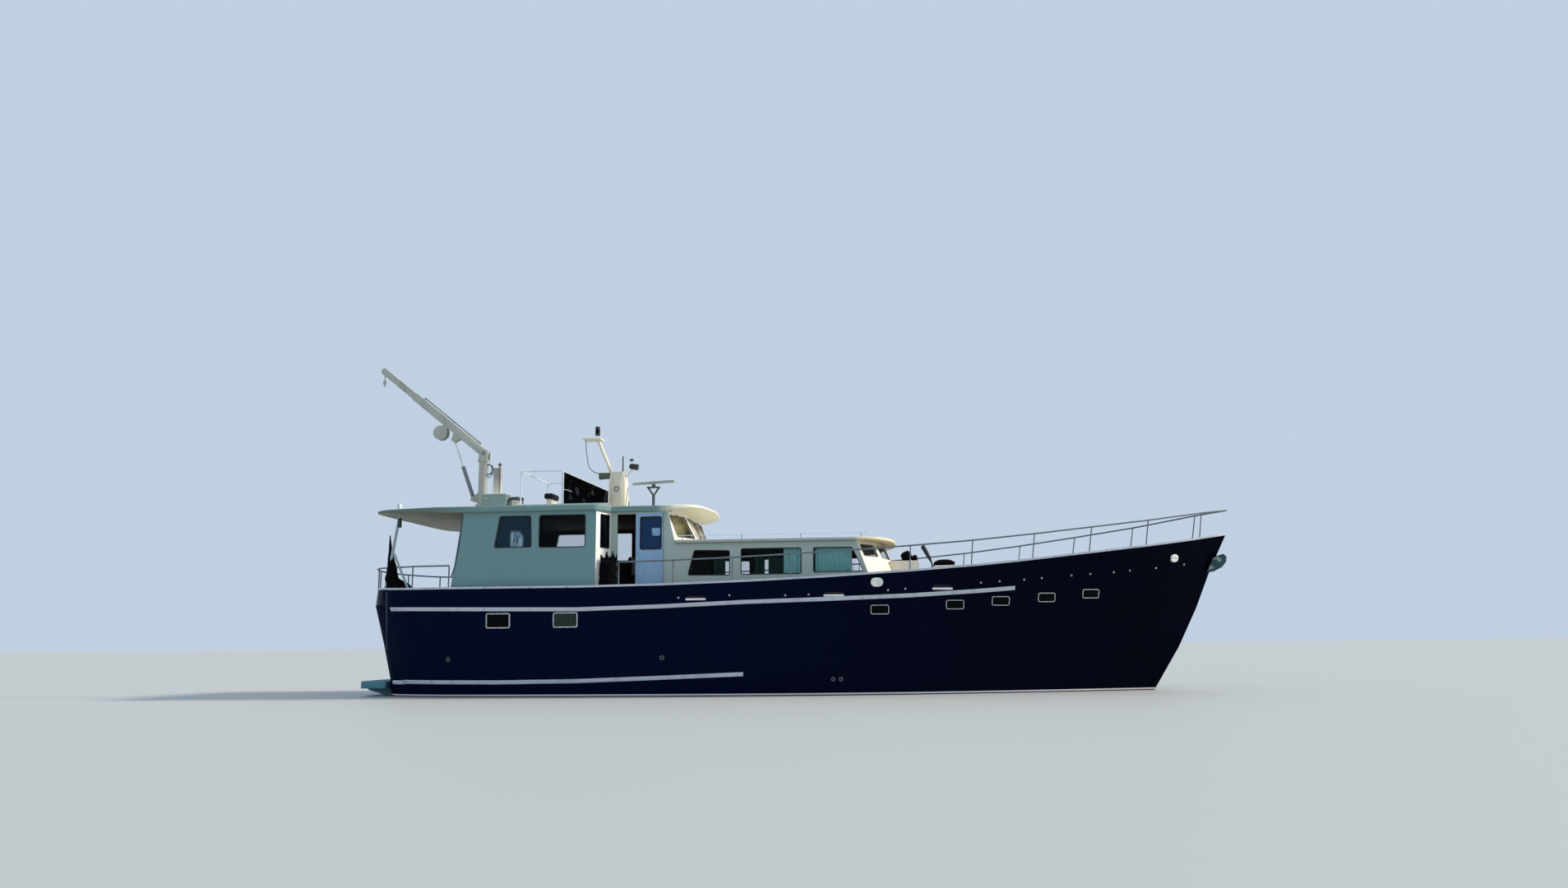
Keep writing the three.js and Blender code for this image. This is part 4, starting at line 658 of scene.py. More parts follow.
END_BAR = [(-0.05, -0.03), (0.05, -0.03), (0.046, 0.03), (0.03, 0.045), (-0.03, 0.045), (-0.046, 0.03)]
end_bar = carry(END_BAR, [place for place, _, _, _ in rail_ends], rail_ends[0][3])
piece("rub_rail_ends", both([end_bar]), trim_paint)

stem_hits = [shell.ray_cast(Vector((14, 0, z)), Vector((-1, 0, 0)))[0] for z in np.linspace(0.12, 3.5, 18)]
stem_path = smooth([hit for hit in stem_hits if hit is not None], 2)
STEM_BAR = [(-0.045, -0.03), (0.045, -0.03), (0.04, 0.012), (0.02, 0.03), (-0.02, 0.03), (-0.04, 0.012)]
piece("stem_bar", [carry(STEM_BAR, stem_path, (1, 0, 0))], hull_paint, crease=50)

# Swim platform and transom
# A box of dark-coated plate on welded knees behind the transom, with a stainless boarding ladder up to the
# stern rail, and cast zinc anodes bolted under water.
platform_coat = Finish("platform_coat")
platform_coat.set("Base Color", sea_air(platform_coat, (0.07, 0.23, 0.3), (0.12, 0.2, 0.22), 0.7))
platform_coat.set("Roughness", 0.5 + platform_coat.noise(9, 4) * 0.3)
platform_coat.set("Normal", platform_coat.bump(platform_coat.noise(150, 3), 0.002))
dress(["swim_platform"], platform_coat, 0.02)

stainless = Finish("stainless_tube", Metallic=1.0)
tarnish = stainless.noise(11, 5).over(0.6, 0.3)
stainless.colour(tarnish, (0.8, 0.83, 0.86), (0.5, 0.48, 0.44))
stainless.set("Roughness", 0.22 + stainless.noise(25, 4) * 0.25)

transom = tree_of(["hull", "bulwark_stern", "cap_rail"])


def behind(y, z):
    """Where the transom lies at y and z."""
    return np.array(transom.ray_cast(Vector((-13, y, z)), Vector((1, 0, 0)))[0])


LADDER_Y = 1.35
LADDER_HALF = 0.2
LADDER_OFF = 0.13
rung_heights = np.arange(0.62, 2.5, 0.3)
stile_heights = np.linspace(0.45, 2.6, 9)
ladder = []
for y in (LADDER_Y - LADDER_HALF, LADDER_Y + LADDER_HALF):
    stile = np.array([behind(y, z) - (LADDER_OFF, 0, 0) for z in stile_heights])
    foot, head = stile[0] + (0.14, 0, -0.02), stile[-1] + (0.14, 0, 0.03)
    ladder.append(hose(smooth(np.concatenate([[foot], stile, [head]]), 3), 0.016, 8))
for z in rung_heights:
    left, right = (behind(LADDER_Y + sign * LADDER_HALF, z) - (LADDER_OFF, 0, 0) for sign in (-1, 1))
    ladder.append(bar(left, right, 0.014, 8))
piece("boarding_ladder", ladder, stainless, crease=50)

galvanised = Finish("galvanised", Metallic=0.7)
spangle = galvanised.noise(9, 7).over(0.55, 0.3)
galvanised.colour(spangle, (0.3, 0.34, 0.36), (0.14, 0.13, 0.11))
galvanised.set("Roughness", 0.5 + galvanised.noise(20, 4) * 0.3)
zinc = Finish("zinc", Metallic=0.4)
zinc.colour(zinc.noise(16, 5), (0.36, 0.37, 0.36), (0.55, 0.56, 0.52))
zinc.set("Roughness", 0.75 + zinc.noise(40, 3) * 0.2)
ANODES = [(-6.2, -0.75), (-4.6, -0.85), (-1.2, -0.9), (3.2, -0.8)]
anodes = []
for x, z in ANODES:
    place, along, rise, out = side_of(x, z)
    anodes.append(slab(rounded(oblong(0.3, 0.09), 0.03), place - out * 0.01, along, rise, 0.045, 0.015))
piece("hull_anodes", both(anodes), zinc)

KNEE_Y = (-1.3, -0.45, 0.45, 1.3)
KNEE_X = -10.85
PLATFORM_UNDER = 0.199
knees = []
for y in KNEE_Y:
    top, low = behind(y, 0.19) + (0.02, 0, 0), behind(y, -0.28) + (0.02, 0, 0)
    toe = [(KNEE_X, PLATFORM_UNDER), (KNEE_X, 0.15)]
    knee = rounded([(low[0], low[2]), (top[0], PLATFORM_UNDER), *toe], 0.02, 2)
    knees.append(slab(knee, (0, y + 0.006, 0), (1, 0, 0), (0, 0, 1), 0.012, 0.002))
piece("platform_knees", knees, platform_coat)

# Rails
# Steel tube, bent and welded: dull grey on the cap rail round the deck, and painted white on the flybridge.
# Each post stands welded on what carries it.
rail_steel = Finish("rail_steel", Metallic=0.4, Specular_IOR_Level=0.3)
rail_tarnish = rail_steel.noise(3, 5).over(0.55, 0.4)
rail_steel.colour(rail_tarnish, (0.17, 0.21, 0.23), (0.11, 0.13, 0.13))
rail_steel.set("Roughness", 0.35 + rail_steel.noise(25, 4) * 0.25)
dress(["guard_rail", "stern_rail"], rail_steel)
fly_rail_paint = white_paint("fly_rail_paint", (0.72, 0.78, 0.84), 0.1)
dress(["fly_rail"], fly_rail_paint)

# Deck gear
# Welded double bollards, the galvanised windlass, a round deck hatch with a dark pane, and the anchor in its
# hawse, whose dark coating has worn off in places.
dress(["windlass"], galvanised, 0.012)
anchor_coat = Finish("anchor_coat", Metallic=0.3)
anchor_wear = anchor_coat.noise(7, 6).over(0.6, 0.14)
anchor_coat.colour(anchor_wear, (0.03, 0.08, 0.09), (0.34, 0.38, 0.36))
anchor_coat.set("Roughness", 0.55 + anchor_coat.noise(20, 4) * 0.3)
dress(["anchor"], anchor_coat, 0.012)
BOLLARDS = [(7.9, 0.95), (-9.1, 2.0)]
POST = [(0.07, 0), (0.07, 0.2), (0.095, 0.215), (0.1, 0.235), (0.09, 0.25), (0.02, 0.256)]
bollards = []
for x, y in BOLLARDS:
    z = deck_under(x, y) - 0.006
    bollards.append(block((x - 0.32, y - 0.11, z), (x + 0.32, y + 0.11, z + 0.035)))
    bollards += [lathe(POST, (x + step, y, z + 0.02), around=22) for step in (-0.19, 0.19)]
bollard_paint = white_paint("bollard_paint", (0.5, 0.52, 0.5), 0.8)
piece("bollards", both(bollards), bollard_paint)

HATCH = (6.6, 0.0)
hatch_z = deck_under(*HATCH) - 0.01
hatch_rim = [(0.33, 0), (0.33, 0.09), (0.31, 0.11), (0.26, 0.11), (0.25, 0.1)]
hatch_dome = [(0.27, 0.05), (0.27, 0.12), (0.25, 0.14), (0.12, 0.15), (0.02, 0.152)]
for name, profile, finish, slot in (
    ("hatch_frame", hatch_rim, stainless, "stainless_tube"),
    ("hatch_lid", hatch_dome, deep_glass, "window_glass"),
):
    piece(name, [lathe(profile, (*HATCH, hatch_z), around=36)], finish)

# Aft cabin
# Steel walls in a pale blue-grey, with brown wood lining inside, and painted sunlight in white on the faces
# that look forward. The windows are fixed panes in black rubber seals, and the aft door hangs on strap
# hinges.
CABIN_TINT = (0.16, 0.285, 0.29)
# Painted sunlight: the white of the cabin's faces that look forward
PAINTED_SUNLIGHT_WHITE = (0.95, 0.93, 0.86)
CABIN_OUTER_Y = 2.555


def deckhouse(name, base, lined, painted_sun=None):
    """Deckhouse paint outside and a wood lining where the field lined is 1. What looks forward gets painted
    sunlight in the colour painted_sun, if that is given."""
    finish = Finish(name, Specular_IOR_Level=0.4)
    outer = sea_air(finish, base, tuple(0.8 * c for c in base), 0.12)
    walls = finish.mix(lined(finish), outer, wood(finish))
    if painted_sun:
        # Faces that look forward get painted sunlight
        walls = finish.mix(finish.facing("X").over(0.5, 0.1), walls, painted_sun)
    finish.set("Base Color", walls)
    finish.set("Roughness", 0.38 + finish.noise(5, 4) * 0.16)
    finish.set("Normal", plating(finish, 0.0022))
    return finish


def inside_cabin(finish):
    """1 on the inner faces of the cabin's side walls."""
    return abs(finish.axis("Y")).under(CABIN_WALL_Y, 0.004) * finish.facing("X").under(0.5, 0.1)


def fore_of_aft_wall(finish):
    """1 forward of the aft wall's outer face."""
    return finish.axis("X").over(AFT_WALL_X, 0.004)


# The cabin's walls, with painted sunlight on the faces that look forward
cabin_paint = deckhouse("cabin_paint", CABIN_TINT, inside_cabin, PAINTED_SUNLIGHT_WHITE)
dress(["aft_cabin_side_starboard", "aft_cabin_side_port"], cabin_paint)
aft_wall_paint = deckhouse("aft_wall_paint", CABIN_TINT, fore_of_aft_wall)
dress(["aft_cabin_aft_wall"], aft_wall_paint)
post_paint = white_paint("post_paint", (0.36, 0.46, 0.48), 0.3)
dress(["roof_post_starboard", "roof_post_port"], post_paint)
door_paint = white_paint("door_paint", (0.29, 0.46, 0.66), 0.1, 0.3)
dress(["aft_door", "wheelhouse_door_starboard", "wheelhouse_door_port"], door_paint)

SEAL = [(-0.01, -0.012), (0.012, -0.012), (0.012, 0.003), (0.007, 0.008), (-0.005, 0.008), (-0.01, 0.003)]
STARBOARD = (0, -1, 0)
CABIN_WINDOWS = [
    ([(-7.2, 3.62), (-6.265, 3.62), (-6.29, 4.39), (-7.08, 4.39)], 0.06),
    ([(-6.07, 3.61), (-4.91, 3.61), (-4.91, 4.40), (-6.07, 4.40)], 0.06),
]


def seals(windows, y):
    """A rubber bar round each window of a flat side wall whose outer face lies at y."""
    rims = []
    for edge, corner in windows:
        rim_path = spread(rounded(edge, corner), (0, -y, 0), (1, 0, 0), (0, 0, 1))
        rims.append(carry(SEAL, rim_path, STARBOARD, True))
    return rims


seal_rubber = Finish("seal_rubber", Roughness=0.5)
seal_rubber.colour(seal_rubber.noise(25, 4), (0.008, 0.009, 0.01), (0.03, 0.032, 0.034))
piece("cabin_window_seals", both(seals(CABIN_WINDOWS, CABIN_OUTER_Y)), seal_rubber)

# Wheelhouse and saloon
# The same steel walls in a greyer tint, with warm cream on both fronts that is painted sunlight on the same
# paint. The fronts are made of flat facets, and each facet holds one window in a rubber seal.
HOUSE_TINT = (0.42, 0.49, 0.45)
PAINTED_SUN_CREAM = (0.95, 0.87, 0.74)
HOUSE_LINING_Y = 1.93
HOUSE_OUTER_Y = 1.95
SALOON_WINDOWS = [
    ([(-2.46, 2.91), (-1.42, 2.90), (-1.42, 3.50), (-2.30, 3.52)], 0.05),
    ([(-1.13, 2.91), (0.354, 2.91), (0.354, 3.54), (-1.13, 3.54)], 0.05),
    ([(0.657, 2.94), (1.874, 2.95), (1.605, 3.535), (0.665, 3.54)], 0.05),
]


def inside_house(finish):
    """1 on the inner faces of the wheelhouse's and saloon's side walls."""
    return abs(finish.axis("Y")).under(HOUSE_LINING_Y, 0.004)


house_paint = deckhouse("house_paint", HOUSE_TINT, inside_house)
house_sides = [f"{room}_side_{side}" for room in ("wheelhouse", "saloon") for side in ("starboard", "port")]
dress(house_sides, house_paint)
# Painted sunlight: warm cream on the fronts, skylight and locker, where the sun falls on them
cream_paint = white_paint("cream_paint", PAINTED_SUN_CREAM, 0.25)
dress(["wheelhouse_front", "saloon_front"], cream_paint)
dress(["skylight", "foredeck_locker"], cream_paint, 0.012)
piece("saloon_window_seals", both(seals(SALOON_WINDOWS, HOUSE_OUTER_Y)), seal_rubber)

# Each front's plan at its foot and its head from the side to the middle, the heights of both, the heights of
# its windows, and how far each window's corners are drawn in along foot and head
WHEELHOUSE_FRONT = {
    "low": [(-2.8, -1.95), (-2.37, -0.8), (-2.37, 0)],
    "high": [(-2.98, -1.95), (-2.7, -1.2025), (-2.7, 0)],
    "levels": (3.78, 4.52),
    "window": (3.89, 4.41),
    "margins": [(0.2, 0.105, 0.11, 0.045), (0.07, 0.05, 0.05, 0.07)],
}
SALOON_FRONT = {
    "low": [(2.211, -1.95), (2.75, -1.2), (2.95, 0)],
    "high": [(1.703, -1.95), (2.134, -1.35), (2.359, 0)],
    "levels": (2.30, 3.70),
    "window": (3.33, 3.60),
    "margins": [(0.11,) * 4] * 2,
}


def front_window(front, facet):
    """The corners of the window in a starboard facet of a front, and the facet's outward direction."""
    z_low, z_high = front["levels"]

    def edge(z, k):
        """The place of an upright edge of the front at a height."""
        share = (z - z_low) / (z_high - z_low)
        low, high = np.array(front["low"][k]), np.array(front["high"][k])
        return np.array([*(low + (high - low) * share), z])

    z0, z1 = front["window"]
    corners = np.array([edge(z0, facet), edge(z0, facet + 1), edge(z1, facet + 1), edge(z1, facet)])
    sill, head = unit(corners[1] - corners[0]), unit(corners[2] - corners[3])
    corners += np.array(front["margins"][facet])[:, None] * np.array([sill, -sill, -head, head])
    return corners, unit(np.cross(corners[1] - corners[0], corners[3] - corners[0]))


for front, name in ((WHEELHOUSE_FRONT, "wheelhouse_front_seals"), (SALOON_FRONT, "saloon_front_seals")):
    rims = []
    for facet in (0, 1):
        corners, out = front_window(front, facet)
        rims.append(carry(SEAL, rounded(corners, 0.03), out, True))
    piece(name, both(rims), seal_rubber)

# The aft cabin's aft pane is dark with a painted reflection of some sky, and the other side panes are clear
glass = Finish("window_glass", Roughness=0.03, IOR=1.5, Specular_IOR_Level=0.2)
aft_pane = glass.axis("X").under(-6.18, 0.02) * glass.axis("Y").under(-2.2, 0.1)
# Painted reflection: a patch of pale sky on the aft pane
aft_pane_painted_sky = glass.axis("X").between(-6.8, -6.5, 0.06) * glass.axis("Z").under(4.0, 0.1)
aft_pane_painted_sky = aft_pane_painted_sky * glass.noise(6, 4, (1, 1, 0.3)).over(0.5, 0.12)
pane_tint = glass.mix(aft_pane_painted_sky, (0.004, 0.028, 0.05), (0.35, 0.5, 0.62))
clear_tint = glass.mix(glass.noise(1.2, 3), (0.004, 0.012, 0.018), (0.012, 0.03, 0.036))
glass.colour(aft_pane, clear_tint, pane_tint)
glass.set("Alpha", 0.1 + aft_pane * 0.75)
dress([name for name in nodes if "_pane" in name], glass)

# The doors' panes are tinted blue, with a patch of painted sky glare. The wheelhouse's front panes carry a
# painted reflection of a bright sky, least in their outer lower corners.
door_glass = Finish("door_glass", Roughness=0.04, IOR=1.5, Alpha=0.86, Specular_IOR_Level=0.25)
# Painted reflection: a patch of bright sky glare on the door panes
door_painted_glare = door_glass.axis("X").between(-3.37, -3.16, 0.02) * door_glass.axis("Z").between(3.9, 4.09, 0.02)
door_painted_glare = door_painted_glare * door_glass.noise(6, 3).over(0.42, 0.12)
door_glass.colour(door_painted_glare, (0.002, 0.035, 0.11), (0.3, 0.5, 0.7))
dress(["door_pane_starboard", "door_pane_port"], door_glass)
front_glass = Finish("front_glass", Roughness=0.08, IOR=1.5, Alpha=0.8, Specular_IOR_Level=0.3)
# Painted reflection: bright sky on the middle facets, and on the side facets dark low down, rising to dull
# yellow-green towards their outer upper corners
side_facet = abs(front_glass.axis("Y")).over(1.0, 0.1)
rising = (front_glass.axis("Z") * 1.1 + abs(front_glass.axis("Y")) * 0.9).over(5.8, 0.7)
side_facet_painted_reflection = front_glass.mix(rising, (0.012, 0.014, 0.01), (0.34, 0.29, 0.09))
front_painted_sky = front_glass.mix(front_glass.noise(1.6, 3).over(0.5, 0.5), (0.5, 0.46, 0.36), (0.85, 0.8, 0.66))
front_glass.colour(side_facet, front_painted_sky, side_facet_painted_reflection)
dress(["wheelhouse_pane_front"], front_glass)

wipers = []
for facet in (0, 1):
    corners, out = front_window(WHEELHOUSE_FRONT, facet)
    sill, head = (corners[0] + corners[1]) / 2, (corners[2] + corners[3]) / 2
    root, tip = head + (head - sill) * 0.08 + out * 0.012, sill + (head - sill) * 0.35 + out * 0.02
    wipers += [bar(root - out * 0.02, root + out * 0.008, 0.012), bar(root, tip, 0.004, 8)]
piece("wipers", both(wipers), seal_rubber)

# The slanting panels between cabin and wheelhouse hold a tall fixed pane each
RETURN_START, RETURN_END = np.array([-4.64, -2.554]), np.array([-4.42, -1.9503])
RETURN_SHARES = (0.3, 0.9)
RETURN_Z = (3.60, 4.42)
return_run = np.array([*(RETURN_END - RETURN_START), 0])
return_ahead = unit(return_run)
return_out = np.cross(return_ahead, (0, 0, 1))
hole = [(*RETURN_START, z) + return_run * share for z in RETURN_Z for share in RETURN_SHARES]
hole = np.array(hole)[[0, 1, 3, 2]]
hole_size = (np.linalg.norm(hole[1] - hole[0]) - 0.01, RETURN_Z[1] - RETURN_Z[0] - 0.01)
pane_foot = hole.mean(0) - 0.03 * return_out
return_pane = slab(rounded(oblong(*hole_size), 0.02), pane_foot, return_ahead, (0, 0, 1), 0.01, 0.002)
piece("return_panes", both([return_pane]), deep_glass)
return_seal = carry(SEAL, rounded(hole, 0.02), return_out, True)
piece("return_seals", both([return_seal]), seal_rubber)

# A dark strip covers the joint of cabin side and aft wall
AFT_EDGE = [(-8.03, 4.45), (-8.05, 4.2), (-8.09, 3.85), (-8.14, 3.46), (-8.2, 3.15), (-8.27, 2.93)]
edge_paint = white_paint("edge_paint", (0.02, 0.05, 0.035), 0.2)
edge_strip = hose(smooth([(x, -CABIN_OUTER_Y, z) for x, z in AFT_EDGE], 3), 0.014, 8)
piece("cabin_edge_strips", both([edge_strip]), edge_paint)

DOOR_OUTER = 2.006
DOOR_WINDOW = [(-3.655, 3.56), (-3.12, 3.56), (-3.12, 4.37), (-3.655, 4.37)]
door_seal = seals([(DOOR_WINDOW, 0.05)], DOOR_OUTER)
piece("door_seal_starboard", door_seal, seal_rubber, "wheelhouse_door_starboard")
mirrored = both(door_seal)[1:]
piece("door_seal_port", mirrored, seal_rubber, "wheelhouse_door_port")

# Roofs
# Plated decks with a thin rolled edge: pale paint above, and a slatted tan lining under the aft overhang. The
# visor and the saloon roof's brim carry painted sunlight on their edges and painted bounced light under them.
# A handrail on short stanchions runs along each side of the saloon roof.
roof_paint = Finish("roof_paint", Specular_IOR_Level=0.35)
along_roof, across_roof = roof_paint.axis("X"), abs(roof_paint.axis("Y"))
low_roof = roof_paint.axis("Z").under(4.2, 0.1)
top_side = sea_air(roof_paint, (0.62, 0.62, 0.54), (0.36, 0.36, 0.3), 0.6)
# Painted sunlight: the roof edge is warm cream on the visor forward of the wheelhouse, and teal aft, darker
# towards the aft end
edge_with_visor_sun = roof_paint.mix(along_roof.under(-8.2, 1.4), (0.165, 0.285, 0.28), (0.12, 0.185, 0.145))
edge_with_visor_sun = roof_paint.mix(along_roof.over(-3.0, 0.5), edge_with_visor_sun, (1.0, 0.93, 0.72))
# Painted sunlight: the saloon roof's edge turns warm on its forward brim
low_edge_with_brim_sun = roof_paint.mix(along_roof.over(1.72, 0.1), HOUSE_TINT, (0.86, 0.74, 0.46))
edge_tint = sea_air(roof_paint, roof_paint.mix(low_roof, edge_with_visor_sun, low_edge_with_brim_sun), (0.16, 0.22, 0.2), 0.12)
SLAT_WIDTH = 0.21
slats = across_roof.math("PINGPONG", SLAT_WIDTH).under(0.025, 0.02)
slat_tint = roof_paint.mix(slats, (0.21, 0.18, 0.09), (0.09, 0.08, 0.045))
open_under = sea_air(roof_paint, slat_tint, (0.13, 0.115, 0.07), 0.6)
# Painted light: the visor's underside is bright cream, for light bounced up under it
visor_under_painted_light = roof_paint.mix(along_roof.over(-3.2, 0.2) * (1 - low_roof), open_under, (1.0, 0.94, 0.74))
# Painted light: the saloon roof's brim is warm tan underneath, for light bounced up under it
brim_under_painted_light = roof_paint.mix(along_roof.over(1.7, 0.1) * low_roof, visor_under_painted_light, (0.8, 0.62, 0.34))
over_rooms = along_roof.over(AFT_WALL_X, 0.01) * across_roof.under(CABIN_WALL_Y, 0.01)
in_plan = along_roof.under(CABIN_FORE_X, 0.01) + across_roof.under(HOUSE_WALL_Y, 0.01)
roofed = over_rooms * in_plan.over(0.5, 0.1)
ceiling = roofed * (along_roof.under(-2.9, 0.01) + low_roof * along_roof.under(1.7, 0.01)).over(0.5, 0.1)
under_side = roof_paint.mix(ceiling, brim_under_painted_light, (0.03, 0.018, 0.012))
faced = roof_paint.mix(roof_paint.facing("Z").over(0.96, 0.04), edge_tint, top_side)
roof_paint.colour(roof_paint.facing("Z").under(-0.96, 0.04), faced, under_side)
roof_paint.set("Roughness", 0.42 + ceiling * 0.4 + roof_paint.noise(5, 4) * 0.15)
roof_paint.set("Normal", plating(roof_paint, 0.002))
dress(["main_roof", "saloon_roof"], roof_paint, 0.022)

HANDRAIL_Y = -1.75
HANDRAIL_X = (-2.64, -1.141, 0.339, 1.825)
RAIL_LIFT = 0.13
STANCHION = [(0.03, -0.004), (0.03, 0.008), (0.013, 0.014), (0.012, RAIL_LIFT)]
saloon_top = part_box("saloon_roof")[1][2]
stanchions = []
rail_line = []
for x in HANDRAIL_X:
    z = deck_under(x, HANDRAIL_Y, house, saloon_top + 0.3)
    stanchions.append(lathe(STANCHION, (x, HANDRAIL_Y, z)))
    rail_line.append(np.array([x, HANDRAIL_Y, z + RAIL_LIFT]))
rail_line = [rail_line[0] - (0.12, 0, 0), *rail_line, rail_line[-1] + (0.1, 0, 0)]
piece("saloon_rail_stanchions", both(stanchions), post_paint)
piece("saloon_handrails", both([hose(smooth(rail_line, 5), 0.01, 8)]), fly_rail_paint)
gear_paint = white_paint("roof_gear_paint", (0.8, 0.76, 0.64), 0.2)

# Crane
# Welded box sections in grubby off-white. A plated rod and a painted cylinder luff the boom, a winch drum
# hangs under it, a dark pipe runs along its back, and black hydraulic hoses loop in front of the column.
CRANE_WHITE = (0.46, 0.47, 0.42)
crane_paint = white_paint("crane_paint", CRANE_WHITE, 0.9, 0.5)
dress(["crane_pedestal", "crane_column", "crane_extension"], crane_paint, 0.006)
dress(["crane_cylinder"], white_paint("cylinder_paint", (0.2, 0.23, 0.25), 0.5, 0.4), 0.003)
dress(["crane_rod"], stainless, 0.002)

ROOF_TOP = 4.65
PIVOT = np.array([-8.44, 0, 6.40])
ELEVATION = math.radians(39)


def on_boom(points):
    """Points of the boom's own frame, x back along it and z square to it, raised to its elevation."""
    along, y, square = (np.asarray(points, float)[..., k] for k in range(3))
    x = along * math.cos(ELEVATION) + square * math.sin(ELEVATION)
    z = square * math.cos(ELEVATION) - along * math.sin(ELEVATION)
    return PIVOT + np.stack([x, y, z], -1)


PIPE_START = 0.121
PIPE_DARK = (0.035, 0.04, 0.035)
boom_paint = Finish("boom_paint", Specular_IOR_Level=0.45)
climb = boom_paint.axis("X") * math.sin(ELEVATION) + boom_paint.axis("Z") * math.cos(ELEVATION)
pivot_climb = float(PIVOT[0] * math.sin(ELEVATION) + PIVOT[2] * math.cos(ELEVATION))
boom_tint = boom_paint.mix(climb.over(pivot_climb + PIPE_START, 0.004), CRANE_WHITE, PIPE_DARK)
boom_paint.set("Base Color", sea_air(boom_paint, boom_tint, (0.25, 0.26, 0.23), 0.5))
boom_paint.set("Roughness", 0.5 + boom_paint.noise(7, 4) * 0.2)
brush_marks = boom_paint.noise(45, 4, (0.3, 1, 1))
boom_paint.set("Normal", boom_paint.bump(brush_marks, 0.0012, plating(boom_paint, 0.001)))
dress(["crane_boom"], boom_paint, 0.006)

DRUM = (-1.363, -0.318)
DRUM_RADIUS = 0.15
DRUM_HALF = 0.052
WIRE = 0.008
wire_crest = DRUM_RADIUS + WIRE
turns = np.arange(-DRUM_HALF, DRUM_HALF, WIRE * 2)
wound = [(DRUM_RADIUS - 0.01, turns[0])]
for y in turns:
    wound += [(DRUM_RADIUS + 0.001, y), (wire_crest, y + WIRE * 0.6), (wire_crest, y + WIRE * 1.4)]
wound.append((DRUM_RADIUS - 0.01, turns[-1] + WIRE * 2))
drum_place = on_boom((DRUM[0], 0, DRUM[1]))
wire_finish = Finish("wire_rope", Metallic=0.8)
wire_finish.colour(wire_finish.noise(60, 3), (0.28, 0.27, 0.25), (0.14, 0.11, 0.08))
wire_finish.set("Roughness", 0.45 + wire_finish.noise(90, 2) * 0.2)
piece("winch_wire", [lathe(wound, drum_place, (0, 1, 0), 30)], wire_finish, "crane_boom")
flange = [(0.03, 0), (0.19, 0), (0.2, 0.004), (0.2, 0.008), (0.19, 0.012), (0.03, 0.012)]
flanges = [lathe(flange, on_boom((DRUM[0], y, DRUM[1])), (0, 1, 0), 30) for y in (-0.099, 0.087)]
motor = [(0.075, 0), (0.08, 0.012), (0.08, 0.1), (0.07, 0.115), (0.04, 0.12), (0.02, 0.121)]
winch_motor = lathe(motor, on_boom((DRUM[0], 0.098, DRUM[1])), (0, 1, 0), 22)
piece("winch_flanges", [*flanges, winch_motor], crane_paint, "crane_boom")

pin = [(0.012, 0), (0.05, 0), (0.055, 0.006), (0.055, 0.016), (0.045, 0.022), (0.01, 0.023)]
bolt = [(0.016, -0.004), (0.016, 0.012), (0.012, 0.016), (0.004, 0.017)]
COLUMN_X = -8.47
COLUMN_FLANGE_TOP = 5.01
PEDESTAL_FOOT_TOP = ROOF_TOP + 0.04


def bolt_circle(radius, z):
    """Twelve bolts in a circle round the column's axis."""
    return [lathe(bolt, (COLUMN_X + x, y, z), around=6) for x, y in circle(radius, 12)]


column_bits = [lathe(pin, PIVOT + (0, 0.13, 0), (0, 1, 0)), *bolt_circle(0.16, COLUMN_FLANGE_TOP)]
piece("column_bolts", both(column_bits), galvanised, "crane_column")
piece("pedestal_bolts", bolt_circle(0.19, PEDESTAL_FOOT_TOP), galvanised)

hose_rubber = Finish("hose_rubber", Roughness=0.5)
hose_rubber.colour(hose_rubber.noise(40, 3), (0.006, 0.006, 0.007), (0.025, 0.025, 0.027))
HOSE_RADIUS = 0.011
HOSE_LOOP = [
    (-8.352, 6.10), (-8.31, 6.102), (-8.26, 6.085), (-8.222, 6.04), (-8.208, 5.97), (-8.215, 5.90),
    (-8.245, 5.85), (-8.29, 5.822), (-8.352, 5.818),
]
HOSE_HEIGHT = 0.28
hose_top, hose_low = HOSE_LOOP[0][1], HOSE_LOOP[-1][1]
# Each hose's place across the column, how far its foot is raised, and how far back it starts
HOSES = [(-0.055, 0.0, 0.012), (0.0, -0.06, 0.0), (0.055, 0.02, 0.012)]


sockets = []
for k, (y, raised, back) in enumerate(HOSES):
    loop = smooth([(x - back, y, z + raised * (hose_top - z) / HOSE_HEIGHT) for x, z in HOSE_LOOP], 4)
    tube = hose(loop, HOSE_RADIUS, 10)
    made = piece(f"crane_hose_{k + 1}", [tube], hose_rubber, "crane_column")
    sockets += [bar((-8.37, y, z), (-8.325 - back, y, z), 0.019, 8) for z in (hose_top, hose_low + raised)]
piece("hose_fittings", sockets, galvanised, "crane_column")

# Exhaust casing and roof fittings
# A plated casing with a square stack, a collar and a drain pipe, louvres in its side, and a valve block and a
# mushroom vent on the roof ahead of it.
casing_paint = Finish("casing_paint", Specular_IOR_Level=0.4)
stack_tint = casing_paint.mix(casing_paint.axis("Z").over(5.45, 0.4), (0.85, 0.79, 0.64), (0.36, 0.36, 0.31))
casing_tint = casing_paint.mix(casing_paint.axis("Z").over(5.19, 0.01), (0.22, 0.34, 0.33), stack_tint)
casing_paint.set("Base Color", sea_air(casing_paint, casing_tint, (0.26, 0.25, 0.21), 0.4))
casing_paint.set("Roughness", 0.45 + casing_paint.noise(7, 4) * 0.2)
casing_paint.set("Normal", plating(casing_paint, 0.001))
dress(["exhaust_casing"], casing_paint, 0.014)
LOUVRE_X = (-8.15, -8.02)
LOUVRE_Y = -0.796
LOUVRE_Z = np.linspace(4.75, 5.05, 6)
LOUVRE = [(0, 0), (0.03, 0.006), (0.034, 0.012), (0.0, 0.034)]
louvres = []
for z in LOUVRE_Z:
    ring = [[(x, LOUVRE_Y - out, z + lift) for out, lift in LOUVRE] for x in LOUVRE_X]
    louvres.append(skin(np.array(ring)))
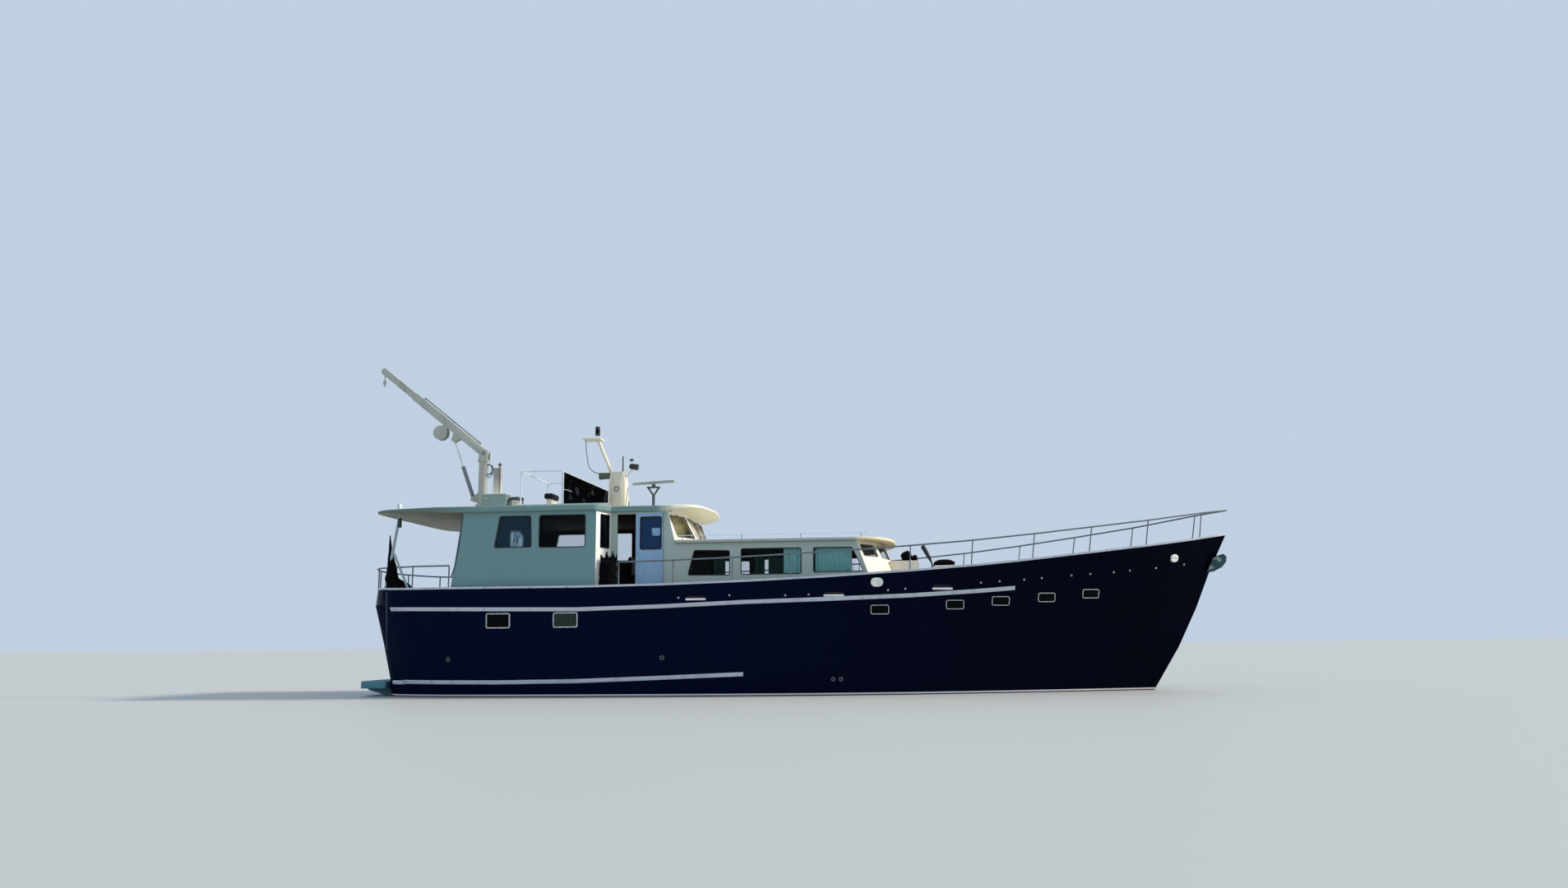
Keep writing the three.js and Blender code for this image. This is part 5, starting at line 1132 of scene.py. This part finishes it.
piece("casing_louvres", louvres, crane_paint)
stack_soot = Finish("stack_soot", Metallic=0.1)
stack_soot.colour(stack_soot.noise(12, 5), (0.02, 0.018, 0.016), (0.12, 0.08, 0.05))
stack_soot.set("Roughness", 0.6 + stack_soot.noise(20, 3) * 0.3)
rain_cap = [(0.034, 0), (0.05, 0.0), (0.052, 0.006), (0.046, 0.03), (0.036, 0.034)]
piece("stack_collar", [lathe(rain_cap, (-7.80, -0.61, 5.985))], stack_soot)
drain = [(-7.73, -0.755, 5.15), (-7.735, -0.76, 5.5), (-7.745, -0.76, 5.9), (-7.75, -0.74, 6.03)]
piece("stack_drain", [hose(smooth(drain, 4), 0.013, 8)], stack_soot)

# A valve block with a dark cap and two round handles, and a dark upright beside it
valve_grey = white_paint("valve_grey", (0.62, 0.62, 0.5), 0.5, 0.5)
valve_dark = white_paint("valve_dark", (0.05, 0.07, 0.06), 0.2, 0.4)
VALVE_Y = -0.6


def on_roof(x0, x1, half_width, z0, z1, ease):
    """A block on the main roof at the valves, between two places along it and two heights above it."""
    low = (x0, VALVE_Y - half_width, ROOF_TOP + z0)
    return block(low, (x1, VALVE_Y + half_width, ROOF_TOP + z1), ease)


piece("valve_block", [on_roof(-7.43, -7.23, 0.12, -0.002, 0.38, 0.012)], valve_grey)
KNOB = [(0.012, 0), (0.04, 0.004), (0.05, 0.02), (0.05, 0.05), (0.035, 0.07), (0.008, 0.074)]
KNOB_X = (-7.475, -7.15)
valves = [on_roof(-7.45, -7.21, 0.13, 0.379, 0.46, 0.012), on_roof(-7.575, -7.535, 0.02, -0.002, 0.5, 0.006)]
for x in KNOB_X:
    valves.append(bar((x, VALVE_Y, ROOF_TOP - 0.002), (x, VALVE_Y, ROOF_TOP + 0.36), 0.016))
    valves.append(lathe(KNOB, (x, VALVE_Y - 0.03, ROOF_TOP + 0.4), (0, -1, 0)))
piece("valve_handles", valves, valve_dark)
MUSHROOM = [(0.05, 0), (0.05, 0.16), (0.11, 0.17), (0.12, 0.19), (0.1, 0.23), (0.05, 0.25), (0.01, 0.255)]
MUSHROOM_PLACE = (-7.3, 0.9, ROOF_TOP - 0.004)
piece("roof_vents", [lathe(MUSHROOM, MUSHROOM_PLACE)], gear_paint)

# Flybridge
# A low steel coaming runs round the upper helm. A black cloth is laced above it as a windbreak, with a white
# sewn edge, and a small padded seat stands behind.
dress(["fly_coaming"], white_paint("coaming_paint", (0.6, 0.64, 0.6), 0.3), 0.008)
COAMING_TOP = 4.845
CLOTH_LINE = [(-5.88, -1.17), (-4.685, -1.17), (-4.99, -0.426)]
CLOTH_AFT_TOP = 5.69
CLOTH_SLOPE = -0.4516
CLOTH_HALF_THICK = 0.002


def cloth_top(x):
    """The height of the cloth's sloping upper edge."""
    return CLOTH_AFT_TOP + CLOTH_SLOPE * (x - CLOTH_LINE[0][0])


def along_line(line, steps):
    """Points a step apart along a line of straight runs."""
    line = np.asarray(line, float)
    travelled = np.concatenate([[0], np.cumsum(np.linalg.norm(np.diff(line, axis=0), axis=1))])
    at = np.linspace(0, travelled[-1], steps)
    return np.stack([np.interp(at, travelled, line[:, k]) for k in range(line.shape[1])], -1), at


cloth_plan = CLOTH_LINE + [(x, -y) for x, y in CLOTH_LINE[::-1]]
plan, plan_at = along_line(cloth_plan, 200)
plan_ahead = unit(np.gradient(plan, axis=0))
plan_out = np.stack([plan_ahead[:, 1], -plan_ahead[:, 0]], -1)
LACING = 0.28
share = np.linspace(0, 1, 26)
tops = cloth_top(plan[:, 0])
heights = COAMING_TOP + 0.002 + (tops - COAMING_TOP - 0.004)[:, None] * share
pull = np.sin(plan_at[:, None] * (2 * math.pi / LACING)) * 0.004 * (1 - share) ** 2
billow = 0.009 * np.sin(plan_at[:, None] * 2.1 + 0.6) * np.sin(math.pi * share)
creases = 0.0025 * np.sin(plan_at[:, None] * 17 + share * 9) * np.sin(math.pi * share)


def cloth_face(offset):
    """One face of the cloth: its plan moved outwards by the waves and by offset, at each height."""
    out = (pull + billow + creases + offset)[..., None] * plan_out[:, None]
    return np.concatenate([plan[:, None] + out, heights[..., None]], -1)


faces = np.concatenate([cloth_face(CLOTH_HALF_THICK), cloth_face(-CLOTH_HALF_THICK)[:, ::-1]], 1)
black_cloth = Finish("black_cloth", Specular_IOR_Level=0.05)
weave = black_cloth.noise(420, 2, (1, 1, 0.4))
# Painted highlights: pale patches of glinting light on the black cloth
painted_glints = black_cloth.noise(5, 7, (1, 1, 0.5)).over(0.62, 0.1)
black_cloth.colour(painted_glints, (0.0015, 0.0015, 0.002), (0.06, 0.06, 0.065))
black_cloth.set("Roughness", 0.75 + weave * 0.15)
black_cloth.set("Normal", black_cloth.bump(weave, 0.0008, black_cloth.bump(black_cloth.noise(6, 3), 0.006)))
windbreak = piece(
    "windbreak", [skin(faces)], black_cloth, stands_for=["weather_cloth"], crease=60,
)

binding_cloth = Finish("binding_cloth", Sheen_Weight=0.2)
soiled = binding_cloth.noise(9, 5).over(0.55, 0.3)
binding_cloth.colour(soiled, (0.95, 0.95, 0.92), (0.6, 0.6, 0.56))
binding_cloth.set("Roughness", 0.7 + binding_cloth.noise(200, 2) * 0.2)
binding_cloth.set("Normal", binding_cloth.bump(binding_cloth.noise(400, 2), 0.0006))
top_edge = np.concatenate([plan, tops[:, None] - 0.004], -1)
BINDING = 0.009
hems = [hose(top_edge, BINDING, 8)]
for end in (0, -1):
    foot = np.array([*plan[end], COAMING_TOP + 0.012])
    hems.append(bar(foot, top_edge[end], BINDING, 8))
for x, y in CLOTH_LINE[1:]:
    for side in (1, -1):
        hems.append(bar((x, y * side, COAMING_TOP + 0.004), (x, y * side, cloth_top(x) - 0.004), BINDING, 8))
fold = [(-5.9, 5.215), (-5.78, 5.205), (-5.66, 5.155)]
hems.append(hose([(x, CLOTH_LINE[0][1] - 0.012, z) for x, z in fold], BINDING, 8))
hem = piece("windbreak_edges", hems, binding_cloth, crease=50)
cloth_area = float(np.trapz(tops - COAMING_TOP, plan_at))


def cushion(low, high, crown=0.03, corner=0.09, rows=7, bulge=0.06):
    """A stuffed pad from its low to its high corner. Its rings are rounded rectangles: they grow by bulge to
    the seam at half height as a round edge does, and the top rises towards the middle by crown."""
    low, high = np.asarray(low, float), np.asarray(high, float)
    middle, size = (low + high) / 2, high - low
    rings = []

    def ring(inset, z):
        """Adds the pad's outline, drawn in by inset, at a height."""
        outline = rounded(oblong(size[0] - 2 * inset, size[1] - 2 * inset), max(0.004, corner - inset), 5)
        rings.append(np.column_stack([outline + middle[:2], np.full(len(outline), z)]))

    bulge = min(size[2] * 0.5, bulge)
    reach = min(size[0], size[1]) / 2
    for inset in np.linspace(0.8 * reach, bulge, 4):
        ring(inset, low[2])
    for t in np.linspace(-1, 1, 2 * rows + 1)[1:-1]:
        ring(bulge * (1 - math.sqrt(1 - t * t)), middle[2] + t * (size[2] - crown) / 2 - crown / 2)
    for inset in np.linspace(bulge, 0.9 * reach, 8):
        fall = ((inset - bulge) / (reach - bulge)) ** 0.7
        ring(inset, high[2] - crown + crown * math.sin(fall * math.pi / 2))
    return skin(np.array(rings))


def piping(low, high, corner=0.09, crown=0.03):
    """The sewn cord round a pad, on its widest line."""
    middle = (np.asarray(low, float) + np.asarray(high, float)) / 2
    outline = rounded(oblong(high[0] - low[0], high[1] - low[1]), corner, 5)
    path = np.column_stack([outline + middle[:2], np.full(len(outline), middle[2] - crown / 2)])
    return hose(path, 0.006, 8, closed=True)


seat_vinyl = Finish("seat_vinyl", Specular_IOR_Level=0.15)
leather_grain = seat_vinyl.noise(160, 5)
seat_vinyl.colour(seat_vinyl.noise(7, 4), (0.003, 0.0035, 0.005), (0.012, 0.013, 0.016))
seat_vinyl.set("Roughness", 0.45 + leather_grain * 0.2)
soft_dents = seat_vinyl.bump(seat_vinyl.noise(9, 3), 0.01)
seat_vinyl.set("Normal", seat_vinyl.bump(leather_grain, 0.0008, soft_dents))
SEAT_LOW, SEAT_HIGH = (-6.67, -0.3, 5.1), (-6.43, 0.3, 5.25)
fly_pad = [cushion(SEAT_LOW, SEAT_HIGH, 0.012, 0.035, bulge=0.018), piping(SEAT_LOW, SEAT_HIGH, 0.035, 0.012)]
fly_cushion = piece(
    "fly_cushion", fly_pad, seat_vinyl, stands_for=["fly_seat"], crease=60,
)
seat_locker = block((-6.62, -0.24, ROOF_TOP), (-6.48, 0.24, 5.102), 0.012)
piece("fly_seat_locker", [seat_locker], gear_paint)

helm_box = [(-5.5, ROOF_TOP), (-5.12, ROOF_TOP), (-5.12, 5.1), (-5.22, 5.22), (-5.5, 5.12)]
HELM_PORT_Y = 0.6
HELM_WIDTH = 0.5
upper_helm = slab(rounded(helm_box, 0.02, 2), (0, HELM_PORT_Y, 0), (1, 0, 0), (0, 0, 1), HELM_WIDTH, 0.01)
piece("upper_helm", [upper_helm], gear_paint)

# Mast and radar
# A tapered pod with a raked spar, a platform and an all-round lamp, a horn on a bracket, a black
# floodlight, a whip, and the radar's turning bar on its own pedestal.
mast_paint = white_paint("mast_paint", (0.86, 0.8, 0.64), 0.3)
dress(["mast"], mast_paint, 0.014)
dress(["radar_scanner"], white_paint("radar_paint", (0.38, 0.41, 0.4), 0.1), 0.012)
dress(["radar_pedestal"], white_paint("radar_grey", (0.07, 0.09, 0.09), 0.3), 0.006)
lamp_body = [(0.062, 0), (0.066, 0.006), (0.066, 0.045), (0.062, 0.05)]
lamp_head = [(0.062, 0), (0.068, 0.008), (0.06, 0.03), (0.03, 0.045), (0.006, 0.048)]
MAST_LAMP = np.array([-5.31, 0, 6.825])
lamp_rings = [(lamp_body, 0), (lamp_body, 0.155), (lamp_head, 0.205)]
housing = [lathe(profile, MAST_LAMP + (0, 0, lift)) for profile, lift in lamp_rings]
piece("lamp_housing", housing, seal_rubber)
lens_profile = [(0.0605, 0.045), (0.0655, 0.055)]
for z in np.linspace(0.06, 0.15, 8):
    lens_profile += [(0.0655, z), (0.0635, z + 0.006)]
lens_profile.append((0.0605, 0.158))
piece("lamp_lens", [lathe(lens_profile, MAST_LAMP, around=28)], deep_glass)

# A dark whip stands on the pod, and a ring bolt on its side
WHIP_FOOT, WHIP_TIP = (-4.6, 0, 5.79), (-4.6, 0, 6.24)
whip_paint = white_paint("whip_paint", (0.09, 0.11, 0.14), 0.1)
piece("pod_whip", [bar(WHIP_FOOT, WHIP_TIP, 0.02, 8)], whip_paint)
POD_RING = np.array([-4.71, -0.225, 5.33])
ring_path = POD_RING + spread(circle(0.065, 24), (0, 0, 0), (1, 0, 0), (0, 0, 1))
piece("pod_ring", [hose(ring_path, 0.012, 8, closed=True)], galvanised, crease=50)

FLOOD = np.array([-4.37, 0, 5.96])
FLOOD_AXIS = unit((-4.20 - FLOOD[0], 0, 5.93 - FLOOD[2]))
FLOOD_SHELL = [
    (0.03, -0.05), (0.055, -0.045), (0.078, -0.005), (0.08, 0.16), (0.086, 0.175), (0.086, 0.19),
    (0.078, 0.19),
]
FLOOD_GLASS = [(0.077, 0.16), (0.077, 0.183), (0.05, 0.187), (0.01, 0.188)]
HORN = [(0.02, -0.08), (0.075, -0.07), (0.085, 0.0), (0.08, 0.16), (0.02, 0.17)]
piece("floodlight_shell", [lathe(FLOOD_SHELL, FLOOD, FLOOD_AXIS, 26)], seal_rubber)
piece("floodlight_glass", [lathe(FLOOD_GLASS, FLOOD, FLOOD_AXIS, 26)], deep_glass)
bracket = block((-5.245, -0.09, 5.64), (-4.92, 0.09, 5.79), 0.01)
horn = lathe(HORN, (-5.17, 0, 5.7), (1, 0, 0.15))
flood_clip = block((-4.41, -0.03, 6.1), (-4.31, 0.03, 6.165), 0.008)
horn_paint = white_paint("horn_paint", (0.1, 0.11, 0.07), 0.4)
piece("mast_bracket", [bracket, horn, flood_clip], horn_paint)

CABLE_RADIUS = 0.01
CABLE = [
    (-5.63, 6.69), (-5.625, 6.48), (-5.6, 6.31), (-5.575, 6.13), (-5.53, 5.97), (-5.43, 5.85),
    (-5.28, 5.79), (-5.1, 5.775),
]
cable = smooth([(x, 0.0, z) for x, z in CABLE], 3)
mast_cable = piece("mast_cable", [hose(cable, CABLE_RADIUS, 8)], hose_rubber)

# Foredeck covers
# Two rolled black covers lie athwart on the foredeck locker, a low one on the skylight, and a dark cowl vent
# stands beside them.
ROLLS = [(2.93, 3.275, 0.133), (3.135, 3.275, 0.08)]
ROLL_HALF = 0.5
TIE_Y = 0.28


def roll(x, z, radius, half_length):
    """A rolled cover lying athwart: a round bundle, flat underneath. Its ends pucker, its turns show as waves
    round it, and two ties draw it in."""
    y = np.linspace(-half_length, half_length, 41)
    turn = np.arange(48) * (2 * math.pi / 48)
    size = np.sqrt(np.clip(1 - (np.abs(y) / half_length) ** 8, 0.03, 1))[:, None]
    folds = 1 + 0.09 * np.sin(turn * 3 + y[:, None] * 5) + 0.05 * np.sin(turn * 8 - y[:, None] * 9)
    ties = 1 - 0.09 * np.exp(-((np.abs(y) - TIE_Y) / 0.02) ** 2)[:, None]
    reach = radius * size * folds * ties
    lift = np.maximum(radius + reach * np.sin(turn), 0.0)
    return skin(np.stack([x + reach * np.cos(turn), np.repeat(y[:, None], 48, 1), z + lift], -1))


cover_cloth = Finish("cover_cloth", Specular_IOR_Level=0.04)
cover_cloth.colour(cover_cloth.noise(9, 5), (0.001, 0.001, 0.0015), (0.005, 0.005, 0.006))
cover_cloth.set("Roughness", 0.65 + cover_cloth.noise(90, 3) * 0.25)
cover_cloth.set("Normal", cover_cloth.bump(cover_cloth.noise(22, 4), 0.008))
for k, (x, z, radius) in enumerate(ROLLS):
    rolled = roll(x, z + 0.001, radius, ROLL_HALF)
    bundle = piece(f"rolled_cover_{k + 1}", [rolled], cover_cloth, crease=70)
LOW_COVER = ((3.62, -0.48, 3.151), (4.16, 0.48, 3.315))
low_cover = piece("low_cover", [cushion(*LOW_COVER, 0.05, 0.12)], cover_cloth, crease=70)
COWL_Y = -0.3
COWL = [(3.57, 3.0), (3.58, 3.15), (3.55, 3.27), (3.50, 3.38), (3.43, 3.52), (3.37, 3.63), (3.33, 3.67)]
cowl_path = smooth([(x, COWL_Y, z) for x, z in COWL], 5)
COWL_SHARES = [0, 0.3, 0.5, 0.9, 1]
COWL_RADII = [0.02, 0.022, 0.05, 0.065, 0.04]
cowl_size = np.interp(np.linspace(0, 1, len(cowl_path)), COWL_SHARES, COWL_RADII)
cowl_paint = white_paint("cowl_paint", (0.01, 0.02, 0.05), 0.2, 0.3)
piece("cowl_vent", [hose(cowl_path, cowl_size, 18)], cowl_paint, crease=60)

# Stern gear and fender
# A dark bundled cover is lashed to the roof post inside the stern rail, with a socket bracket above it and a
# white stern light on the roof edge. The fender by the doorway stands in a frayed black sleeve.
rubber = Finish("fender_rubber", Roughness=0.6, Specular_IOR_Level=0.15)
rubber.colour(rubber.noise(18, 5), (0.002, 0.002, 0.003), (0.01, 0.01, 0.012))
dress(["fender"], rubber, 0.03)


def shaggy(foot, sizes, rough, around=44, rows=40):
    """A bundle round an upright axis through foot. sizes are rows of (height, half length, half width, shift
    along), and rough is how far single folds, waves round the axis that turn with height, stand out."""
    sizes = np.asarray(sizes, float)
    heights = np.linspace(sizes[0, 0], sizes[-1, 0], rows)
    length, width, shift = (np.interp(heights, sizes[:, 0], sizes[:, k])[:, None] for k in (1, 2, 3))
    turn = np.arange(around) * (2 * math.pi / around)
    folds = 1 + rough * (np.sin(turn * 7 + heights[:, None] * 9) * np.sin(turn * 3 - heights[:, None] * 14))
    folds = folds + 0.5 * rough * np.sin(turn * 17 + heights[:, None] * 31)
    x = foot[0] + shift + length * folds * np.cos(turn)
    y = foot[1] + width * folds * np.sin(turn)
    return skin(np.stack([x, y, foot[2] + np.repeat(heights[:, None], around, 1)], -1))


SLEEVE = [
    (0, 0.15, 0.12, 0), (0.1, 0.205, 0.175, 0), (0.6, 0.21, 0.18, 0), (0.95, 0.2, 0.175, 0),
    (1.08, 0.12, 0.1, 0),
]
FENDER_PLACE = (-4.37, -2.35)
TUFTS = 16
TUFT_ROOT_Z = 0.9
fender_foot = np.array([*FENDER_PLACE, deck_under(*FENDER_PLACE, shell, 3.2)])
sleeves = [shaggy(fender_foot + (0, 0, 0.004), SLEEVE, 0.09)]
for a in np.arange(TUFTS) * (2 * math.pi / TUFTS):
    root = fender_foot + (0.15 * math.cos(a), 0.12 * math.sin(a), TUFT_ROOT_Z)
    tip = root + (0.1 * math.cos(a * 3 + 1), 0.03 * math.sin(a * 2), 0.27 + 0.09 * math.sin(a * 5))
    sleeves.append(hose([root, (root + tip) / 2 + (0.02, 0, 0), tip], [0.045, 0.03, 0.005], 6))
piece("fender_sleeve", sleeves, cover_cloth, crease=70)
STERN_COVER = [
    (2.66, 0.35, 0.1, 0.2), (2.8, 0.28, 0.12, 0.12), (2.92, 0.16, 0.12, 0.0), (3.2, 0.11, 0.1, -0.01),
    (3.4, 0.08, 0.08, -0.04), (3.6, 0.04, 0.05, -0.07), (4.0, 0.012, 0.012, -0.095),
]
stern_bundle = shaggy((-9.93, -2.25, 0), STERN_COVER, 0.1)
stern_cover = piece("stern_cover", [stern_bundle], cover_cloth, crease=70)
STERN_LIGHT = [
    (0.035, -0.005), (0.04, 0.01), (0.04, 0.05), (0.055, 0.06), (0.055, 0.15), (0.045, 0.17), (0.01, 0.18),
]
LIGHT_PLACE = (-9.79, -2.3)
light_foot = (*LIGHT_PLACE, deck_under(*LIGHT_PLACE, house, 5.2))
piece("stern_light", both([lathe(STERN_LIGHT, light_foot)]), fly_rail_paint)
socket = block((-9.80, -2.36, 4.19), (-9.72, -2.27, 4.42), 0.01)
piece("post_sockets", both([socket]), edge_paint)

# Inside the cabins
# Varnished settees with padded tops, a table, a steering wheel and a pedestal chair at the helm, and gathered
# curtains inside the saloon windows.
console_wood = deckhouse("console_wood", (0.2, 0.12, 0.07), lambda finish: finish.axis("Z").under(3.2, 0.01))
dress(["helm_console"], console_wood, 0.015)

joinery = Finish("joinery", Specular_IOR_Level=0.45)
joinery.set("Base Color", wood(joinery))
joinery.set("Roughness", 0.32 + joinery.noise(9, 4) * 0.15)
joinery.set("Normal", joinery.bump(joinery.noise(40, 4, (0.1, 1, 1)), 0.0006))
upholstery = Finish("upholstery", Sheen_Weight=0.25)
thread = upholstery.noise(300, 3)
upholstery.colour(upholstery.noise(5, 4), (0.10, 0.16, 0.18), (0.17, 0.24, 0.25))
upholstery.set("Roughness", 0.75 + thread * 0.15)
upholstery.set("Normal", upholstery.bump(thread, 0.0006, upholstery.bump(upholstery.noise(6, 3), 0.01)))
ROOM_TOP = 3.2
SETTEES = [
    ((-7.4, -2.45), (-5.2, -1.75)), ((-7.4, 1.75), (-5.2, 2.45)),
    ((-0.9, 1.2), (1.3, 1.85)), ((-0.9, -1.85), (1.3, -1.2)),
]
BASE_HEIGHT, PAD_TOP = 0.33, 0.47
PADS_LONG = 3
bases, pads = [], []
for (x0, y0), (x1, y1) in SETTEES:
    floor_z = max(deck_under(x, (y0 + y1) / 2, shell, ROOM_TOP) for x in (x0, x1)) - 0.03
    bases.append(block((x0, y0, floor_z), (x1, y1, floor_z + BASE_HEIGHT), 0.012))
    pad_length = (x1 - x0) / PADS_LONG
    for part in range(PADS_LONG):
        low_x = x0 + pad_length * part
        low = (low_x, y0, floor_z + BASE_HEIGHT + 0.001)
        high = (low_x + pad_length - 0.006, y1, floor_z + PAD_TOP)
        pads += [cushion(low, high), piping(low, high)]
TABLE = (-6.3, 0.2)
TABLE_HALF_LENGTH, TABLE_HALF_WIDTH = 0.5, 0.55
TABLE_UNDER, TABLE_TOP = 0.72, 0.755
table_z = deck_under(*TABLE, shell, ROOM_TOP)
table_low = (TABLE[0] - TABLE_HALF_LENGTH, TABLE[1] - TABLE_HALF_WIDTH, table_z + TABLE_UNDER)
table_high = (TABLE[0] + TABLE_HALF_LENGTH, TABLE[1] + TABLE_HALF_WIDTH, table_z + TABLE_TOP)
bases.append(block(table_low, table_high, 0.01))
bases.append(lathe([(0.2, -0.02), (0.2, 0.02), (0.05, 0.05), (0.045, TABLE_UNDER)], (*TABLE, table_z)))
piece("joinery", bases, joinery)
settee_pads = piece("settee_pads", pads, upholstery, crease=60)

WHEEL = np.array([-3.52, 0.35, 3.32])
WHEEL_RADIUS = 0.27
SPOKES = 6
RIM_STEPS = 8
wheel_tilt = unit((-1, 0, 0.35))
wheel_across = np.array([0, 1, 0])
wheel_rise = np.cross(wheel_tilt, wheel_across)
rim_path = spread(circle(WHEEL_RADIUS, SPOKES * RIM_STEPS), WHEEL, wheel_across, wheel_rise)
rim = hose(rim_path, 0.016, 10, closed=True)
spokes = [bar(WHEEL, end, 0.01, 8) for end in rim_path[::RIM_STEPS]]
hub = lathe([(0.05, -0.09), (0.05, 0.02), (0.04, 0.035), (0.01, 0.04)], WHEEL, wheel_tilt)
piece("steering_wheel", [rim, *spokes, hub], joinery, crease=50)
CHAIR = (-4.2, 0.35)
chair_z = deck_under(*CHAIR, shell, ROOM_TOP)
chair_leg = lathe([(0.22, -0.01), (0.22, 0.02), (0.05, 0.06), (0.04, 0.6), (0.12, 0.66)], (*CHAIR, chair_z))
piece("chair_leg", [chair_leg], stainless)
chair_low = (CHAIR[0] - 0.24, CHAIR[1] - 0.25, chair_z + 0.66)
chair_high = (CHAIR[0] + 0.24, CHAIR[1] + 0.25, chair_z + 0.79)
back_low = (CHAIR[0] - 0.28, CHAIR[1] - 0.25, chair_z + 0.79)
back_high = (CHAIR[0] - 0.16, CHAIR[1] + 0.25, chair_z + 1.3)
chair_pads = piece(
    "helm_chair", [cushion(chair_low, chair_high), cushion(back_low, back_high, 0.02, 0.05)], seat_vinyl,
    crease=60,
)

CURTAINS = {
    "starboard": [(-0.083, 0.343), (0.70, 1.60)],
    "port": [(-2.42, -2.10), (-1.98, -1.66), (-1.26, -0.99), (-0.89, 0.343), (0.70, 1.43)],
}
CURTAIN_Y = -1.865
CURTAIN_LOW, CURTAIN_HIGH = 2.93, 3.60
PLEAT = 0.11
curtain_cloth = Finish("curtain_cloth", Sheen_Weight=0.15)
curtain_cloth.colour(curtain_cloth.noise(7, 4), (0.2, 0.52, 0.5), (0.34, 0.7, 0.66))
curtain_cloth.set("Roughness", 0.8 + curtain_cloth.noise(200, 2) * 0.1)


def curtain(x0, x1, side):
    """A gathered curtain, and the line of its lower edge. Its place across waves with a pleat's pitch, deeper
    towards the bottom."""
    x = np.linspace(x0, x1, int((x1 - x0) / PLEAT * 14))
    share = np.linspace(0, 1, 18)
    depth = 0.017 + 0.009 * (1 - share)
    wave = np.sin((x[:, None] - x0) * (2 * math.pi / PLEAT) + 0.5 * np.sin(share * 3 + x[:, None] * 5))
    heights = CURTAIN_LOW + (CURTAIN_HIGH - CURTAIN_LOW) * share + 0 * x[:, None]
    faces = []
    for offset in (-0.001, 0.001):
        y = side * (CURTAIN_Y + depth * wave + offset)
        faces.append(np.stack([x[:, None] + 0 * share, y, heights], -1))
    return skin(np.concatenate([faces[0], faces[1][:, ::-1]], 1)), faces[0][:, 0]


for side_name, side in (("starboard", 1), ("port", -1)):
    for k, (x0, x1) in enumerate(CURTAINS[side_name]):
        hung, hem_line = curtain(x0, x1, side)
        made = piece(f"curtain_{side_name}_{k + 1}", [hung], curtain_cloth, crease=60)
